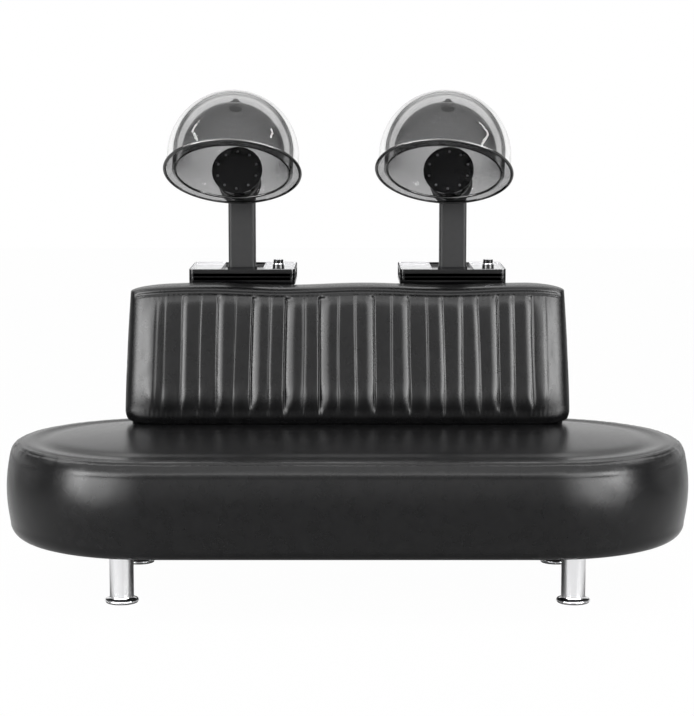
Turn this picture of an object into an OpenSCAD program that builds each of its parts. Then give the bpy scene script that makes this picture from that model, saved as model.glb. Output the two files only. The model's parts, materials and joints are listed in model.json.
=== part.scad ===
// Two-seat salon dryer bench: an upholstered bench on four legs with a channelled backrest,
// and two hooded hair dryers standing on control boxes behind the backrest.
// Millimetres, +Z up, the front faces -Y. The origin is on the floor under the middle of the object.

/* [Seat] */
// Length of the seat, end to end
seat_l = 1800; // [1500:10:2200]
// Depth of the seat, front to back; its ends are half rounds of this size
seat_d = 800; // [700:10:900]
// Thickness of the upholstered seat
seat_h = 265; // [200:5:300]
// Rise of the seat's top from its edge to its middle
seat_crown = 18; // [8:1:30]
// Radius of the seat's top edge
seat_top_r = 34; // [20:1:45]
// Radius of the seat's bottom edge
seat_bottom_r = 42; // [25:1:55]
// How far the seat's side swells between its edges
seat_bulge = 8; // [2:1:14]
// Thickness of the leather cover with its lining
cover_t = 3; // [2:0.5:5]
// Inset of the wooden frame from the seat's side
frame_inset = 62; // [55:1:80]
// Thickness of the frame's wooden wall
frame_wall = 22; // [15:1:30]
// Height of the wooden frame
frame_h = 140; // [100:5:160]
// Thickness of the deck on the frame
deck_t = 12; // [9:1:18]
// Thickness of the bottom board
board_t = 9; // [6:1:15]
// Inset of the bottom board from the seat's side
board_inset = 72; // [66:1:90]

/* [Legs] */
// Height of the legs, floor to seat
leg_h = 135; // [100:5:220]
// Diameter of a leg
leg_d = 60; // [40:1:80]
// Wall of the leg tube
leg_wall = 2; // [1.5:0.5:4]
// Diameter of the flared foot
foot_d = 87; // [70:1:110]
// Height of the flare
foot_h = 22; // [18:1:45]
// Distance of the legs' axes from the seat's ends
leg_end = 322; // [300:2:420]
// Distance of the legs' axes from the seat's front and rear
leg_in = 165; // [140:1:200]
// Diameter of the plate on top of a leg
leg_plate_d = 112; // [100:1:130]
// Thickness of the plate on top of a leg
leg_plate_t = 4; // [3:0.5:6]
// Thickness of the glide under a foot
glide_t = 3; // [2:0.5:6]

/* [Backrest] */
// Width of the backrest at the seat
back_w = 1224; // [1100:4:1300]
// Width of the backrest at its top
back_top_w = 1192; // [1060:4:1290]
// Height of the backrest above the seat
back_h = 370; // [320:5:420]
// Thickness of the back cushion
back_t = 112; // [90:1:130]
// Lean of the backrest, in degrees
back_lean = 7; // [3:0.5:9]
// Distance of the backrest's front face behind the seat's middle, at the seat
back_foot = 140; // [110:2:150]
// Number of upright channels
channels = 25; // [15:1:25]
// Depth of the seams between the channels
channel_depth = 11; // [5:1:16]
// Height of the plain band under the channels
back_low_band = 26; // [18:1:40]
// Height of the plain band over the channels
back_top_band = 20; // [14:1:30]
// Radius of the cushion's rolled edges
back_roll = 34; // [22:1:42]
// How far the channels swell in front of the plain bands
back_swell = 7; // [3:0.5:12]
// Thickness of the board behind the back cushion
panel_t = 18; // [12:1:20]
// Width of a steel upright
upright_w = 60; // [50:1:80]
// Thickness of a steel upright
upright_t = 25; // [20:1:30]

/* [Control box] */
// Distance between the two dryers
dryer_gap = 586; // [560:2:640]
// Width of a control box
box_w = 295; // [280:1:320]
// Depth of a control box
box_d = 255; // [240:1:280]
// Height of a control box
box_h = 36; // [34:1:50]
// Corner radius of a control box
box_r = 14; // [8:1:20]
// Wall of the box's cover
box_wall = 2.5; // [2:0.5:4]
// Height of the box's base tray
tray_h = 10; // [8:1:12]
// Distance of the box's front face behind the seat's middle
box_front = 325; // [322:1:350]
// Width of the light panel on each side of the box's top
panel_w = 83; // [70:1:88]
// Thickness of the shelf bracket's plate
shelf_t = 4; // [3:0.5:6]
// Distance of the timer knob to the right of the box's middle
knob_x = 100; // [90:1:110]
// Distance of the timer knob behind the box's front face
knob_y = 46; // [44:1:60]
// Diameter of the timer knob's skirt
knob_d = 34; // [28:1:38]
// Height of the timer knob
knob_h = 31; // [24:1:36]

/* [Post] */
// Width of the post
post_w = 75; // [70:1:80]
// Depth of the post, front to back
post_d = 50; // [46:1:54]
// Radius of the post's corners
post_r = 10; // [8:1:14]
// Wall of the post
post_wall = 3; // [2:0.5:4]
// Distance of the post's axis behind the box's front face
post_in = 31; // [31:1:60]
// Height of the hood's tilt pin above the floor
pin_z = 1030; // [1020:1:1060]
// Distance of the tilt pin in front of the post's axis
pin_fore = 18; // [14:1:22]
// Diameter of the tilt pin
pin_d = 12; // [10:1:14]
// Width of the slot between the neck's ears
slot_w = 42; // [36:1:44]
// Diameter of the neck's spigot
spigot_d = 34; // [28:1:36]
// Length of the neck's spigot
spigot_l = 58; // [40:1:80]

/* [Hood] */
// Outer diameter of the hood's rim
rim_d = 371; // [360:1:400]
// Radius of the outer dome
outer_r = 176; // [170:1:178]
// Height of the outer dome's centre above the rim
outer_c = 50; // [40:1:56]
// Wall of the outer dome
outer_wall = 3; // [2:0.5:4]
// Radius of the inner dome
inner_r = 137; // [132:1:140]
// Height of the inner dome's centre above the rim
inner_c = 58; // [54:1:64]
// Wall of the inner dome
inner_wall = 2.5; // [2:0.5:4]
// How far the inner dome's lip flares out
lip_flare = 17; // [10:1:20]
// Thickness of the rim ring
rim_t = 7; // [5:0.5:9]
// Radius of the soft edging's section
edging_r = 5.5; // [4.5:0.5:7]
// Diameter of an air hole in the inner dome
air_hole_d = 5; // [4:0.5:7]
// Rings of air holes in the inner dome
air_rings = 4; // [2:1:5]
// Tilt of the hood as the photograph shows it, in degrees
hood_tilt = 29.4; // [5:0.2:50]
// Turn of the left hood to its left, in degrees
left_turn = 2.7; // [0:0.1:20]
// Turn of the right hood to its left, in degrees
right_turn = 8; // [0:0.1:20]

/* [Blower] */
// Diameter of the blower housing
drum_d = 118; // [112:1:122]
// Wall of the blower housing
drum_wall = 2.5; // [2:0.5:4]
// Distance of the tilt pin from the inner dome's centre
pin_reach = 240; // [238:1:252]
// Distance of the blower housing's rear plate from the tilt pin
drum_back = 34; // [32:1:38]
// Rise of the blower's axis in the hood, in degrees
blower_rise = 4; // [4:0.5:8]
// Diameter of the disc that closes the blower inside the hood
disc_d = 137; // [130:1:138]
// Thickness of the disc
disc_t = 4; // [3:0.5:4]
// Distance of the disc's face from the inner dome's centre
disc_reach = 110; // [104:1:110]
// Number of screws round the disc
disc_screws = 10; // [6:1:12]
// Diameter of the fan
fan_d = 100; // [90:1:104]
// Number of fan blades
fan_blades = 12; // [8:1:18]
// Diameter of the motor
motor_d = 58; // [50:1:70]
// Length of the motor
motor_l = 40; // [30:1:42]

/* [Fits] */
// Gap between pieces that are only set beside each other
seat_gap = 0.3; // [0.1:0.05:0.5]
// Radial clearance of a running fit
run_gap = 0.05; // [0.02:0.01:0.1]

/* [Hidden] */
$fn = 96;
// One overrun for every cut
over = 2;

// Half the seat's straight middle, and the radius of its ends
seat_half = (seat_l - seat_d) / 2;
seat_end_r = seat_d / 2;
seat_top = leg_h + seat_h;
leg_span = seat_l - 2 * leg_end;
leg_reach = seat_d - 2 * leg_in;
// Height of the seat's top where its crown starts
seat_shoulder = seat_h - seat_crown;

// Where the post and the box lie behind the seat's middle
post_back = box_front + post_in;
inlet_flange_t = 2.5;
rear_reach = box_front + box_d + inlet_flange_t;
// The seat's middle lies in front of the origin, so that the whole object is centred on it
seat_y = (seat_end_r - rear_reach) / 2;
post_y = seat_y + post_back;

// The box's foot lies a little under the top of the backrest
box_drop = 7;
box_z = seat_top + back_h - box_drop;
box_top = box_z + box_h;
base_inset = 3;
tray_floor_t = 3;
rib_depth = 2;
cover_top_t = 3;

// The frame stands on the bottom board, which lies flush in the cover's opening
board_top = leg_h + board_t;
frame_top = board_top + frame_h;
rail_w = 45;
rail_spacing = leg_span;

// Screws that hold the legs, the uprights and the brackets
screw_r = 3;
screw_head_r = 6.5;
screw_head_h = 3;
leg_screws = 4;
leg_screw_l = leg_plate_t + board_t - 1.5 * seat_gap;
bracket_screw_l = shelf_t + 14;
leg_screw_ring = (leg_plate_d + leg_d) / 4;

// Shelf bracket under each box
shelf_w = 190;
shelf_inset = 6;
shelf_d = box_d - 2 * shelf_inset;
flange_h = 90;
gusset_t = 4;
gusset_reach_share = 0.82;
bracket_row_shares = [0.31, 0.76];

// Turns of the back cushion's side outline, as shares of the roll's radius: [depth, height]
foot_turn_shares = [[0.8, 0], [0.2, 0.25]];
top_turn_shares = [[0.3, 0.26], [1, 0]];
rear_turn_shares = [[0.7, 0], [0, 0.6]];
// Swell of the channels at their foot, middle and top, and the height of their middle
swell_shares = [0.3, 1, 0.4];
belly_share = 0.45;
// Roundness of a channel between its seams
puff_power = 0.55;

// Power inlet in the rear wall of the box
inlet_x = -78;
inlet_w = 50;
inlet_h = 23;
inlet_body_w = 30;
inlet_body_h = 20;
inlet_body_l = 24;
inlet_recess_w = 24;
inlet_recess_h = 16.4;
inlet_recess_l = 16;
inlet_pin_w = 2;
inlet_pin_h = 4;
inlet_pin_l = 12;
inlet_pin_step = 7;
inlet_pin_rise = 2;

// Timer switch and its knob
timer_w = 44;
timer_h = 14;
timer_floor_t = 2;
timer_bush_r = 6;
spindle_r = 3;
knob_cap_share = 0.84;
knob_skirt_share = 0.6;
knob_chamfer = 1.5;
knob_flutes = 24;
knob_flute_r = 1.1;

// Light panels on the box's top
panel_border = 8;
panel_edge = 5;
panel_r = 3;
panel_thick = 0.8;

// Post, bush and neck
post_foot_w = 112;
post_foot_t = 4;
collar_h = 15;
collar_wall = 3;
bush_flange_t = 3;
slot_drop = 25;
head_drop = 35;
post_top = pin_z - head_drop;
head_z = post_top + bush_flange_t + seat_gap;
pin_head_r = 10;
pin_head_t = 3;
spigot_bore_r = 11;

// Places in the hood, counted from the middle of its rim
pin_r = pin_reach * cos(blower_rise);
pin_a = inner_c + pin_reach * sin(blower_rise);
// The neck's ears end on a round of this radius about the pin
ear_r = 24;
ring_out_r = rim_d / 2 - edging_r;
ring_in_r = inner_r + lip_flare - inner_wall;
outer_set = 1;
outer_flare = ring_out_r - outer_r - outer_set;
// The outer dome's second wall stands just outside the inner dome's lip and joins the first at the crown
mid_r = inner_r + lip_flare + outer_set + outer_wall;
mid_c = outer_c + outer_r - mid_r - outer_wall / 2;
cap_r = 18;
cap_h = 15;
cap_stud_r = 8;
air_ring_step = 8.5;
air_ring_start = 10;
air_hole_pitch = 17;

// Places along the blower's axis, counted from the inner dome's centre
disc_back = disc_reach + disc_t;
drum_rear = pin_reach - drum_back;
drum_lip_w = 9;
drum_lip_t = 8;
lug_r = 21;
lug_play = 1;
lug_w = slot_w - lug_play;
vent_w = 5;
vent_step = 11;
vent_start = 6.5;
vent_reach_shares = [0.33, 0.26, 0.19];
outlet_count = 12;
outlet_w = 12;
outlet_l = 12;
motor_rear = drum_rear - drum_wall;
motor_boss_r = 9;
motor_boss_l = 4;
motor_back_t = 2;
shaft_r = 3;
fan_plate_t = 2;
fan_w = 20;
fan_gap = 3;
fan_hub_r = 11;
blade_t = 1.6;
blade_angle = 28;
fan_rear = motor_rear - motor_l - motor_boss_l - fan_gap;
heater_t = 5;
heater_r = 44;
heater_step = 12;
heater_rib = 3;
disc_screw_r = 1.6;
disc_screw_l = 6;
disc_head_r = 3.4;
disc_head_t = 1.6;
disc_dish = 1.5;
disc_dish_share = 0.66;

// Points on an arc round [cx, cy] from angle a to angle b, in steps
function arc(cx, cy, r, a, b, steps) =
    [for (i = [0:steps]) [cx + r * cos(a + (b - a) * i / steps), cy + r * sin(a + (b - a) * i / steps)]];

// Front face of the backrest at a height above the floor
function back_front(z) = seat_y + back_foot + (z - seat_top) * tan(back_lean);

// Top of the seat at a distance y from its middle line
function seat_surface(y) =
    seat_top - seat_crown * pow(min(1, abs(y) / (seat_end_r - seat_bulge - seat_top_r)), 2);

function turn_of(side) = side < 0 ? left_turn : right_turn;

// Half outline of the seat, from its axis outwards, drawn in by an inset
function seat_outline(inset) =
    let (
        side_r = seat_end_r - seat_bulge,
        low = seat_bottom_r,
        high = seat_shoulder - seat_top_r,
        mid = (low + high) / 2,
        half = (high - low) / 2
    )
    concat(
        [[0, inset]],
        arc(side_r - seat_bottom_r, seat_bottom_r, seat_bottom_r - inset, -90, 0, 6),
        [for (i = [1:5]) let (z = low + (high - low) * i / 6)
            [side_r - inset + seat_bulge * (1 - pow((z - mid) / half, 2)), z]],
        arc(side_r - seat_top_r, high, seat_top_r - inset, 0, 90, 6),
        [for (i = [4:-1:0]) let (share = i / 5)
            [(side_r - seat_top_r) * share, seat_h - inset - seat_crown * share * share]]
    );

// Upright outline with its left half mirrored from its right half
function both_halves(points) =
    concat(points, [for (i = [len(points) - 1:-1:0]) if (points[i][0] > 0) [-points[i][0], points[i][1]]]);

// Long round-ended body: half rounds at both ends and a straight run between them
module run_round(points) {
    for (side = [-1, 1])
        translate([side * seat_half, 0, 0])
            rotate([0, 0, -90 * side])
                rotate_extrude(angle = 180)
                    polygon(points);
    translate([-seat_half, 0, 0])
        rotate([90, 0, 90])
            linear_extrude(2 * seat_half)
                polygon(both_halves(points));
}

// Flat round-ended plate, drawn in from the seat's outline by an inset
module seat_plate(inset, height) {
    linear_extrude(height)
        union() {
            square([2 * seat_half, seat_d - 2 * inset], center = true);
            for (side = [-1, 1])
                translate([side * seat_half, 0])
                    circle(r = seat_end_r - inset);
        }
}

module rounded_plate(w, d, r, height) {
    linear_extrude(height)
        union() {
            square([w - 2 * r, d], center = true);
            square([w, d - 2 * r], center = true);
            for (x = [-1, 1], y = [-1, 1])
                translate([x * (w / 2 - r), y * (d / 2 - r)])
                    circle(r = r);
        }
}

module at_seat() translate([0, seat_y, leg_h]) children();

module at_legs() {
    for (x = [-1, 1], y = [-1, 1])
        at_leg(x, y) children();
}

module at_leg(x, y) translate([x * leg_span / 2, seat_y + y * leg_reach / 2, 0]) children();

module at_dryer(side) translate([side * dryer_gap / 2, post_y, 0]) children();

module at_box(side)
    translate([side * dryer_gap / 2, seat_y + box_front + box_d / 2, box_z]) children();

module at_knob(side)
    at_box(side) translate([knob_x, knob_y - box_d / 2, 0]) children();

module at_neck(side) at_dryer(side) rotate([0, 0, -turn_of(side)]) children();

module at_pin(side) at_neck(side) translate([0, -pin_fore, pin_z]) children();

module at_hood(side)
    at_pin(side)
        rotate([-hood_tilt, 0, 0])
            translate([0, -pin_r, -pin_a]) children();

module at_blower(side) at_hood(side) blower_axis() children();

// From the hood's frame to the blower's: the blower's axis runs along +Y from the dome's centre
module blower_axis() translate([0, 0, inner_c]) rotate([blower_rise, 0, 0]) children();

// A round bar along +Y between two places
module along_y(from, to, r)
    translate([0, from, 0]) rotate([-90, 0, 0]) cylinder(h = to - from, r = r);

// Steel upright that leans with the backrest, between two heights, with room round it
module upright_bar(side, low, high, room)
    translate([side * dryer_gap / 2 - upright_w / 2 - room, 0, 0])
        rotate([90, 0, 90])
            linear_extrude(upright_w + 2 * room)
                polygon([
                    [back_front(low) + back_t + panel_t + seat_gap - room, low],
                    [back_front(low) + back_t + panel_t + seat_gap + upright_t + room, low],
                    [back_front(high) + back_t + panel_t + seat_gap + upright_t + room, high],
                    [back_front(high) + back_t + panel_t + seat_gap - room, high]
                ]);

module upright_slots() {
    for (side = [-1, 1])
        upright_bar(side, leg_h, seat_top + over, seat_gap);
}

module seat_cover() {
    color("#1b1b1d")
    difference() {
        at_seat() run_round(seat_outline(0));
        at_seat() run_round(seat_outline(cover_t));
        at_seat() translate([0, 0, -over]) seat_plate(board_inset - seat_gap, cover_t + 2 * over);
        upright_slots();
    }
}

module seat_foam() {
    color("#d8cf9a")
    difference() {
        at_seat() run_round(seat_outline(cover_t));
        translate([0, seat_y, leg_h - over])
            seat_plate(frame_inset, frame_top + deck_t - leg_h + over);
        upright_slots();
    }
}

module seat_frame() {
    color("#b98a54")
    difference() {
        translate([0, seat_y, board_top]) seat_plate(frame_inset, frame_h + deck_t);
        translate([0, seat_y, board_top - over])
            intersection() {
                seat_plate(frame_inset + frame_wall, frame_h + over);
                union() {
                    cube([rail_spacing - rail_w, seat_d, 2 * (frame_h + over)], center = true);
                    for (side = [-1, 1])
                        translate([side * (rail_spacing + rail_w + seat_d) / 2, 0, 0])
                            cube([seat_d, seat_d, 2 * (frame_h + over)], center = true);
                }
            }
        upright_slots();
    }
}

module bottom_board() {
    color("#19191b")
    difference() {
        translate([0, seat_y, leg_h]) seat_plate(board_inset, board_t);
        at_legs()
            translate([0, 0, leg_h])
                leg_screw_places() cylinder(h = board_t + 2 * over, r = screw_r + run_gap);
    }
}

// Chrome leg: a tube with a flared foot and a round plate on top
module leg() {
    flare = (foot_d - leg_d) / 2;
    color("#c9ccd0")
    union() {
        rotate_extrude()
            difference() {
                polygon(concat(
                    [[0, glide_t], [foot_d / 2, glide_t], [foot_d / 2, glide_t + leg_wall]],
                    [for (i = [1:7]) let (a = 90 * i / 7)
                        [foot_d / 2 - flare * sin(a), glide_t + leg_wall + foot_h * (1 - cos(a))]],
                    [[leg_d / 2, leg_h], [0, leg_h]]
                ));
                translate([-over, -over])
                    square([leg_d / 2 - leg_wall + over, leg_h - leg_plate_t + over]);
            }
        translate([0, 0, leg_h - leg_plate_t])
            difference() {
                cylinder(h = leg_plate_t, d = leg_plate_d);
                leg_screw_places() cylinder(h = 2 * over + leg_plate_t, r = screw_r + seat_gap);
            }
    }
}

// Places of the screws in the plate on top of a leg
module leg_screw_places() {
    for (i = [0:leg_screws - 1])
        rotate([0, 0, 45 + i * 360 / leg_screws])
            translate([leg_screw_ring, 0, -over]) children();
}

// Plastic glides pressed into the feet
module leg_glides() {
    plug_h = 15;
    color("#141414")
    at_legs() {
        cylinder(h = glide_t, r = foot_d / 2 - glide_t);
        cylinder(h = glide_t + plug_h, r = leg_d / 2 - leg_wall - run_gap);
    }
}

// Side outline of the back cushion: [depth behind its front face, height above its foot, seam share].
// The seam share says how deep the seams between the channels are there.
function back_outline() = concat(
    [[back_t, 0, 0]],
    [for (turn = foot_turn_shares) [back_roll * turn[0], back_roll * turn[1], 0]],
    [
        [0, back_low_band, 0],
        [-back_swell * swell_shares[0], back_low_band + channel_depth, 1],
        [-back_swell * swell_shares[1], back_h * belly_share, 1],
        [-back_swell * swell_shares[2], back_h - back_top_band - channel_depth, 1],
        [0, back_h - back_top_band, 0]
    ],
    [for (turn = top_turn_shares) [back_roll * turn[0], back_h - back_roll * turn[1], 0]],
    [for (turn = rear_turn_shares) [back_t - back_roll * turn[0], back_h - back_roll * turn[1], 0]]
);

// How far a channel stands out of its seams, 0 at a seam and 1 in its middle
function puff(share) = pow(sin(180 * share), puff_power);

// How far the cushion's rolled end draws its front face back, at a distance from the end
function end_roll(x) =
    x >= back_roll ? 0 : back_roll * (1 - sqrt(1 - pow(1 - x / back_roll, 2)));

// Upholstered back with upright channels between plain bands
module back_cushion() {
    steps = 4;
    cols = channels * steps;
    rows = back_outline();
    n = len(rows);
    points = [
        for (c = [0:cols]) for (row = rows)
            let (
                share = c / cols,
                z = row[1],
                rise = z / back_h,
                w = back_w + (back_top_w - back_w) * rise,
                edge = w * min(share, 1 - share),
                ch = c / steps,
                seam = channel_depth * row[2] * (1 - puff(ch - floor(ch))),
                front = row[0] < back_t / 2,
                depth = front ? row[0] + max(seam, end_roll(edge)) : row[0],
                foot_z = seat_surface(back_front(seat_top + z) + depth - seat_y) + seat_gap,
                top_z = foot_z + (seat_top + back_h - foot_z) * rise
            )
            [w * (share - 0.5), back_front(top_z) + depth, top_z]
    ];
    faces = concat(
        [for (c = [0:cols - 1], r = [0:n - 1]) [c * n + r, (c + 1) * n + r, c * n + (r + 1) % n]],
        [for (c = [0:cols - 1], r = [0:n - 1])
            [(c + 1) * n + r, (c + 1) * n + (r + 1) % n, c * n + (r + 1) % n]],
        [for (r = [1:n - 2]) [0, r, r + 1]],
        [for (r = [1:n - 2]) [cols * n, cols * n + r + 1, cols * n + r]]
    );
    color("#1b1b1d")
    polyhedron(points, faces, convexity = 10);
}

// Board that closes the back of the cushion and carries it on the uprights
module back_panel() {
    low = seat_surface(back_foot + back_t - over) + seat_gap;
    high = seat_top + back_h - back_roll * rear_turn_shares[0][0];
    depth = back_t + seat_gap;
    low_half = back_w / 2 - back_roll / 2;
    high_half = back_top_w / 2 - back_roll / 2;
    corner = back_roll;
    color("#222225")
    intersection() {
        translate([-back_w / 2, 0, 0])
            rotate([90, 0, 90])
                linear_extrude(back_w)
                    polygon([
                        [back_front(low) + depth, low],
                        [back_front(low) + depth + panel_t - seat_gap, low],
                        [back_front(high) + depth + panel_t - seat_gap, high],
                        [back_front(high) + depth, high]
                    ]);
        translate([0, seat_y + seat_d, 0])
            rotate([90, 0, 0])
                linear_extrude(seat_d)
                    union() {
                        polygon([
                            [-low_half, low], [low_half, low],
                            [high_half, high - corner], [high_half - corner, high],
                            [corner - high_half, high], [-high_half, high - corner]
                        ]);
                        for (side = [-1, 1])
                            translate([side * (high_half - corner), high - corner])
                                circle(r = corner);
                    }
    }
}

// Steel upright from the bottom board, through the seat, up to the shelf bracket
module upright(side) {
    color("#2c2d30")
    difference() {
        upright_bar(side, board_top, box_z - shelf_t, 0);
        bracket_screw_places(side) along_y(-bracket_screw_l - seat_gap, over, screw_r + run_gap);
    }
}

// Rear face of an upright at a height above the floor
function upright_rear(z) = back_front(z) + back_t + panel_t + seat_gap + upright_t;

// Shelf under a control box, with a flange on the upright and two gussets
module bracket(side) {
    top = box_z - shelf_t;
    low = top - flange_h;
    front = seat_y + box_front + shelf_inset;
    back = front + shelf_d;
    color("#2c2d30")
    difference() {
        union() {
            translate([side * dryer_gap / 2 - shelf_w / 2, front, top])
                cube([shelf_w, shelf_d, shelf_t]);
            translate([side * dryer_gap / 2 - upright_w / 2, 0, 0])
                rotate([90, 0, 90])
                    linear_extrude(upright_w)
                        polygon([
                            [upright_rear(low), low],
                            [upright_rear(low) + shelf_t, low],
                            [upright_rear(top) + shelf_t, top],
                            [upright_rear(top), top]
                        ]);
            for (edge = [-1, 1])
                translate([(side * dryer_gap + edge * (upright_w - gusset_t) - gusset_t) / 2, 0, 0])
                    rotate([90, 0, 90])
                        linear_extrude(gusset_t)
                            polygon([
                                [upright_rear(low), low],
                                [upright_rear(low) + shelf_t, low],
                                [front + shelf_d * gusset_reach_share, top],
                                [upright_rear(top), top]
                            ]);
        }
        bracket_screw_places(side) along_y(-shelf_t - over, over, screw_r + seat_gap);
    }
}

// Places of the screws that hold a bracket to its upright
module bracket_screw_places(side) {
    for (share = bracket_row_shares)
        let (z = box_z - shelf_t - flange_h * share)
            translate([side * dryer_gap / 2, upright_rear(z) + shelf_t, z])
                rotate([-back_lean, 0, 0]) children();
}

// All the screws of the bench: round heads with plain shanks
module frame_screws() {
    color("#8d9095")
    union() {
        at_legs()
            translate([0, 0, leg_h - leg_plate_t])
                for (i = [0:leg_screws - 1])
                    rotate([0, 0, 45 + i * 360 / leg_screws])
                        translate([leg_screw_ring, 0, 0]) {
                            translate([0, 0, -screw_head_h]) cylinder(h = screw_head_h, r = screw_head_r);
                            cylinder(h = leg_screw_l, r = screw_r);
                        }
        for (side = [-1, 1])
            bracket_screw_places(side) {
                along_y(0, screw_head_h, screw_head_r);
                along_y(-bracket_screw_l, 0, screw_r);
            }
    }
}

// Base tray of a control box
module box_base() {
    w = box_w - 2 * base_inset;
    d = box_d - 2 * base_inset;
    color("#0e0e10")
    difference() {
        rounded_plate(w, d, box_r - base_inset, tray_h);
        translate([0, 0, tray_floor_t])
            rounded_plate(w - 2 * box_wall, d - 2 * box_wall, box_r - base_inset - box_wall, tray_h);
    }
}

// Outer form of a box cover: ribs that run round all four sides
module cover_form() {
    ribs_h = box_h - tray_h;
    rib_h = ribs_h / 5;
    translate([0, 0, tray_h]) {
        rounded_plate(box_w - 2 * rib_depth, box_d - 2 * rib_depth, box_r - rib_depth, ribs_h);
        for (i = [0, 2, 4])
            translate([0, 0, i * rib_h])
                rounded_plate(box_w, box_d, box_r, rib_h);
    }
}

module box_cover() {
    inside = 2 * (rib_depth + box_wall);
    inside_h = box_h - tray_h - cover_top_t;
    color("#121214")
    difference() {
        cover_form();
        translate([0, 0, tray_h - over])
            rounded_plate(box_w - inside, box_d - inside, box_r - inside / 2, inside_h + over);
        translate([0, post_in - box_d / 2, tray_h])
            post_bar(box_h, seat_gap);
        translate([knob_x, knob_y - box_d / 2, 0])
            cylinder(h = box_h + over, r = timer_bush_r + seat_gap);
        translate([inlet_x, box_d / 2, tray_h + (box_h - tray_h) / 2])
            cube([inlet_body_w + 2 * seat_gap, inside + over, inlet_body_h + 2 * seat_gap], center = true);
    }
}

// Two light panels on the box's top, one round the timer knob
module box_panels() {
    depth = box_d - 2 * panel_edge;
    color("#d9dadc")
    difference() {
        for (side = [-1, 1])
            translate([side * (box_w / 2 - panel_border - panel_w / 2), 0, box_h])
                rounded_plate(panel_w, depth, panel_r, panel_thick);
        translate([knob_x, knob_y - box_d / 2, box_h - over])
            cylinder(h = panel_thick + 2 * over, r = timer_bush_r + seat_gap);
    }
}

// Three-pin power inlet in the rear wall
module power_inlet() {
    mid_z = tray_h + (box_h - tray_h) / 2;
    face = box_d / 2;
    color("#1a1a1c")
    translate([inlet_x, face, mid_z])
        union() {
            difference() {
                union() {
                    translate([-inlet_w / 2, 0, -inlet_h / 2])
                        cube([inlet_w, inlet_flange_t, inlet_h]);
                    translate([-inlet_body_w / 2, -inlet_body_l, -inlet_body_h / 2])
                        cube([inlet_body_w, inlet_body_l, inlet_body_h]);
                }
                translate([-inlet_recess_w / 2, inlet_flange_t - inlet_recess_l, -inlet_recess_h / 2])
                    cube([inlet_recess_w, inlet_recess_l + over, inlet_recess_h]);
            }
            for (i = [-1, 0, 1])
                translate([i * inlet_pin_step - inlet_pin_w / 2, inlet_flange_t - inlet_recess_l,
                    (i == 0 ? 1 : -1) * inlet_pin_rise - inlet_pin_h / 2])
                    cube([inlet_pin_w, inlet_pin_l, inlet_pin_h]);
        }
}

// Timer switch under the cover, with a bush that the knob's spindle turns in
module timer_switch() {
    body_top = box_h - cover_top_t - seat_gap;
    color("#3a3a3d")
    difference() {
        union() {
            translate([-timer_w / 2, -timer_w / 2, body_top - timer_h])
                cube([timer_w, timer_w, timer_h]);
            translate([0, 0, body_top - timer_h])
                cylinder(h = box_h + panel_thick - body_top + timer_h, r = timer_bush_r);
        }
        translate([0, 0, body_top - timer_h + timer_floor_t])
            cylinder(h = box_h, r = spindle_r + run_gap);
    }
}

// Timer knob: a skirt, a fluted cap and the spindle under them
module timer_knob() {
    skirt_h = knob_h * knob_skirt_share;
    cap_d = knob_d * knob_cap_share;
    base = box_h + panel_thick + seat_gap;
    spindle_low = box_h - cover_top_t - timer_h + 2 * timer_floor_t;
    color("#101012")
    union() {
        translate([0, 0, base])
            cylinder(h = skirt_h, d = knob_d);
        translate([0, 0, base + skirt_h])
            difference() {
                rotate_extrude()
                    polygon([
                        [0, 0], [cap_d / 2, 0], [cap_d / 2, knob_h - skirt_h - knob_chamfer],
                        [cap_d / 2 - knob_chamfer, knob_h - skirt_h], [0, knob_h - skirt_h]
                    ]);
                for (i = [0:knob_flutes - 1])
                    rotate([0, 0, i * 360 / knob_flutes])
                        translate([cap_d / 2 + knob_flute_r / 3, 0, -over])
                            cylinder(h = knob_h, r = knob_flute_r, $fn = 24);
            }
        translate([0, 0, spindle_low])
            cylinder(h = base + skirt_h - spindle_low, r = spindle_r);
    }
}

// A bar with the post's outline, with room round it
module post_bar(height, room)
    rounded_plate(post_w + 2 * room, post_d + 2 * room, post_r + room, height);

module post_collar() {
    color("#161618")
    translate([0, 0, box_top])
        difference() {
            post_bar(collar_h, collar_wall);
            translate([0, 0, -over])
                post_bar(collar_h + 2 * over, run_gap);
        }
}

// Post: a rectangular tube with round corners and a foot flange on the floor of the box
module post() {
    foot_z = box_z + tray_floor_t;
    foot_front = base_inset + box_wall + seat_gap - post_in;
    color("#4a4b4e")
    difference() {
        union() {
            translate([0, 0, foot_z]) post_bar(post_top - foot_z, 0);
            translate([-post_foot_w / 2, foot_front, foot_z])
                cube([post_foot_w, post_d / 2 - foot_front + post_foot_t, post_foot_t]);
        }
        translate([0, 0, foot_z - over])
            post_bar(post_top - foot_z + 2 * over, -post_wall);
    }
}

// Plastic bush in the top of the post, which the neck turns in
module post_bush() {
    color("#e4e2da")
    difference() {
        union() {
            translate([0, 0, post_top]) post_bar(bush_flange_t, 0);
            translate([0, 0, post_top - spigot_l])
                post_bar(spigot_l + over, -post_wall - run_gap);
        }
        translate([0, 0, post_top - spigot_l - over])
            cylinder(h = spigot_l + bush_flange_t + 2 * over, r = spigot_d / 2 + run_gap);
    }
}

// Side outline of the neck's head: from the post's outline up to a round about the pin
function head_outline() =
    let (rise = pin_z - head_z)
    concat(
        [[post_d / 2, head_z], [post_d / 2, head_z + rise / 4]],
        [for (point = arc(-pin_fore, pin_z, ear_r, 20, 180, 10)) point],
        [[-pin_fore - ear_r, pin_z - rise / 4], [-post_d / 2, head_z]]
    );

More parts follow.
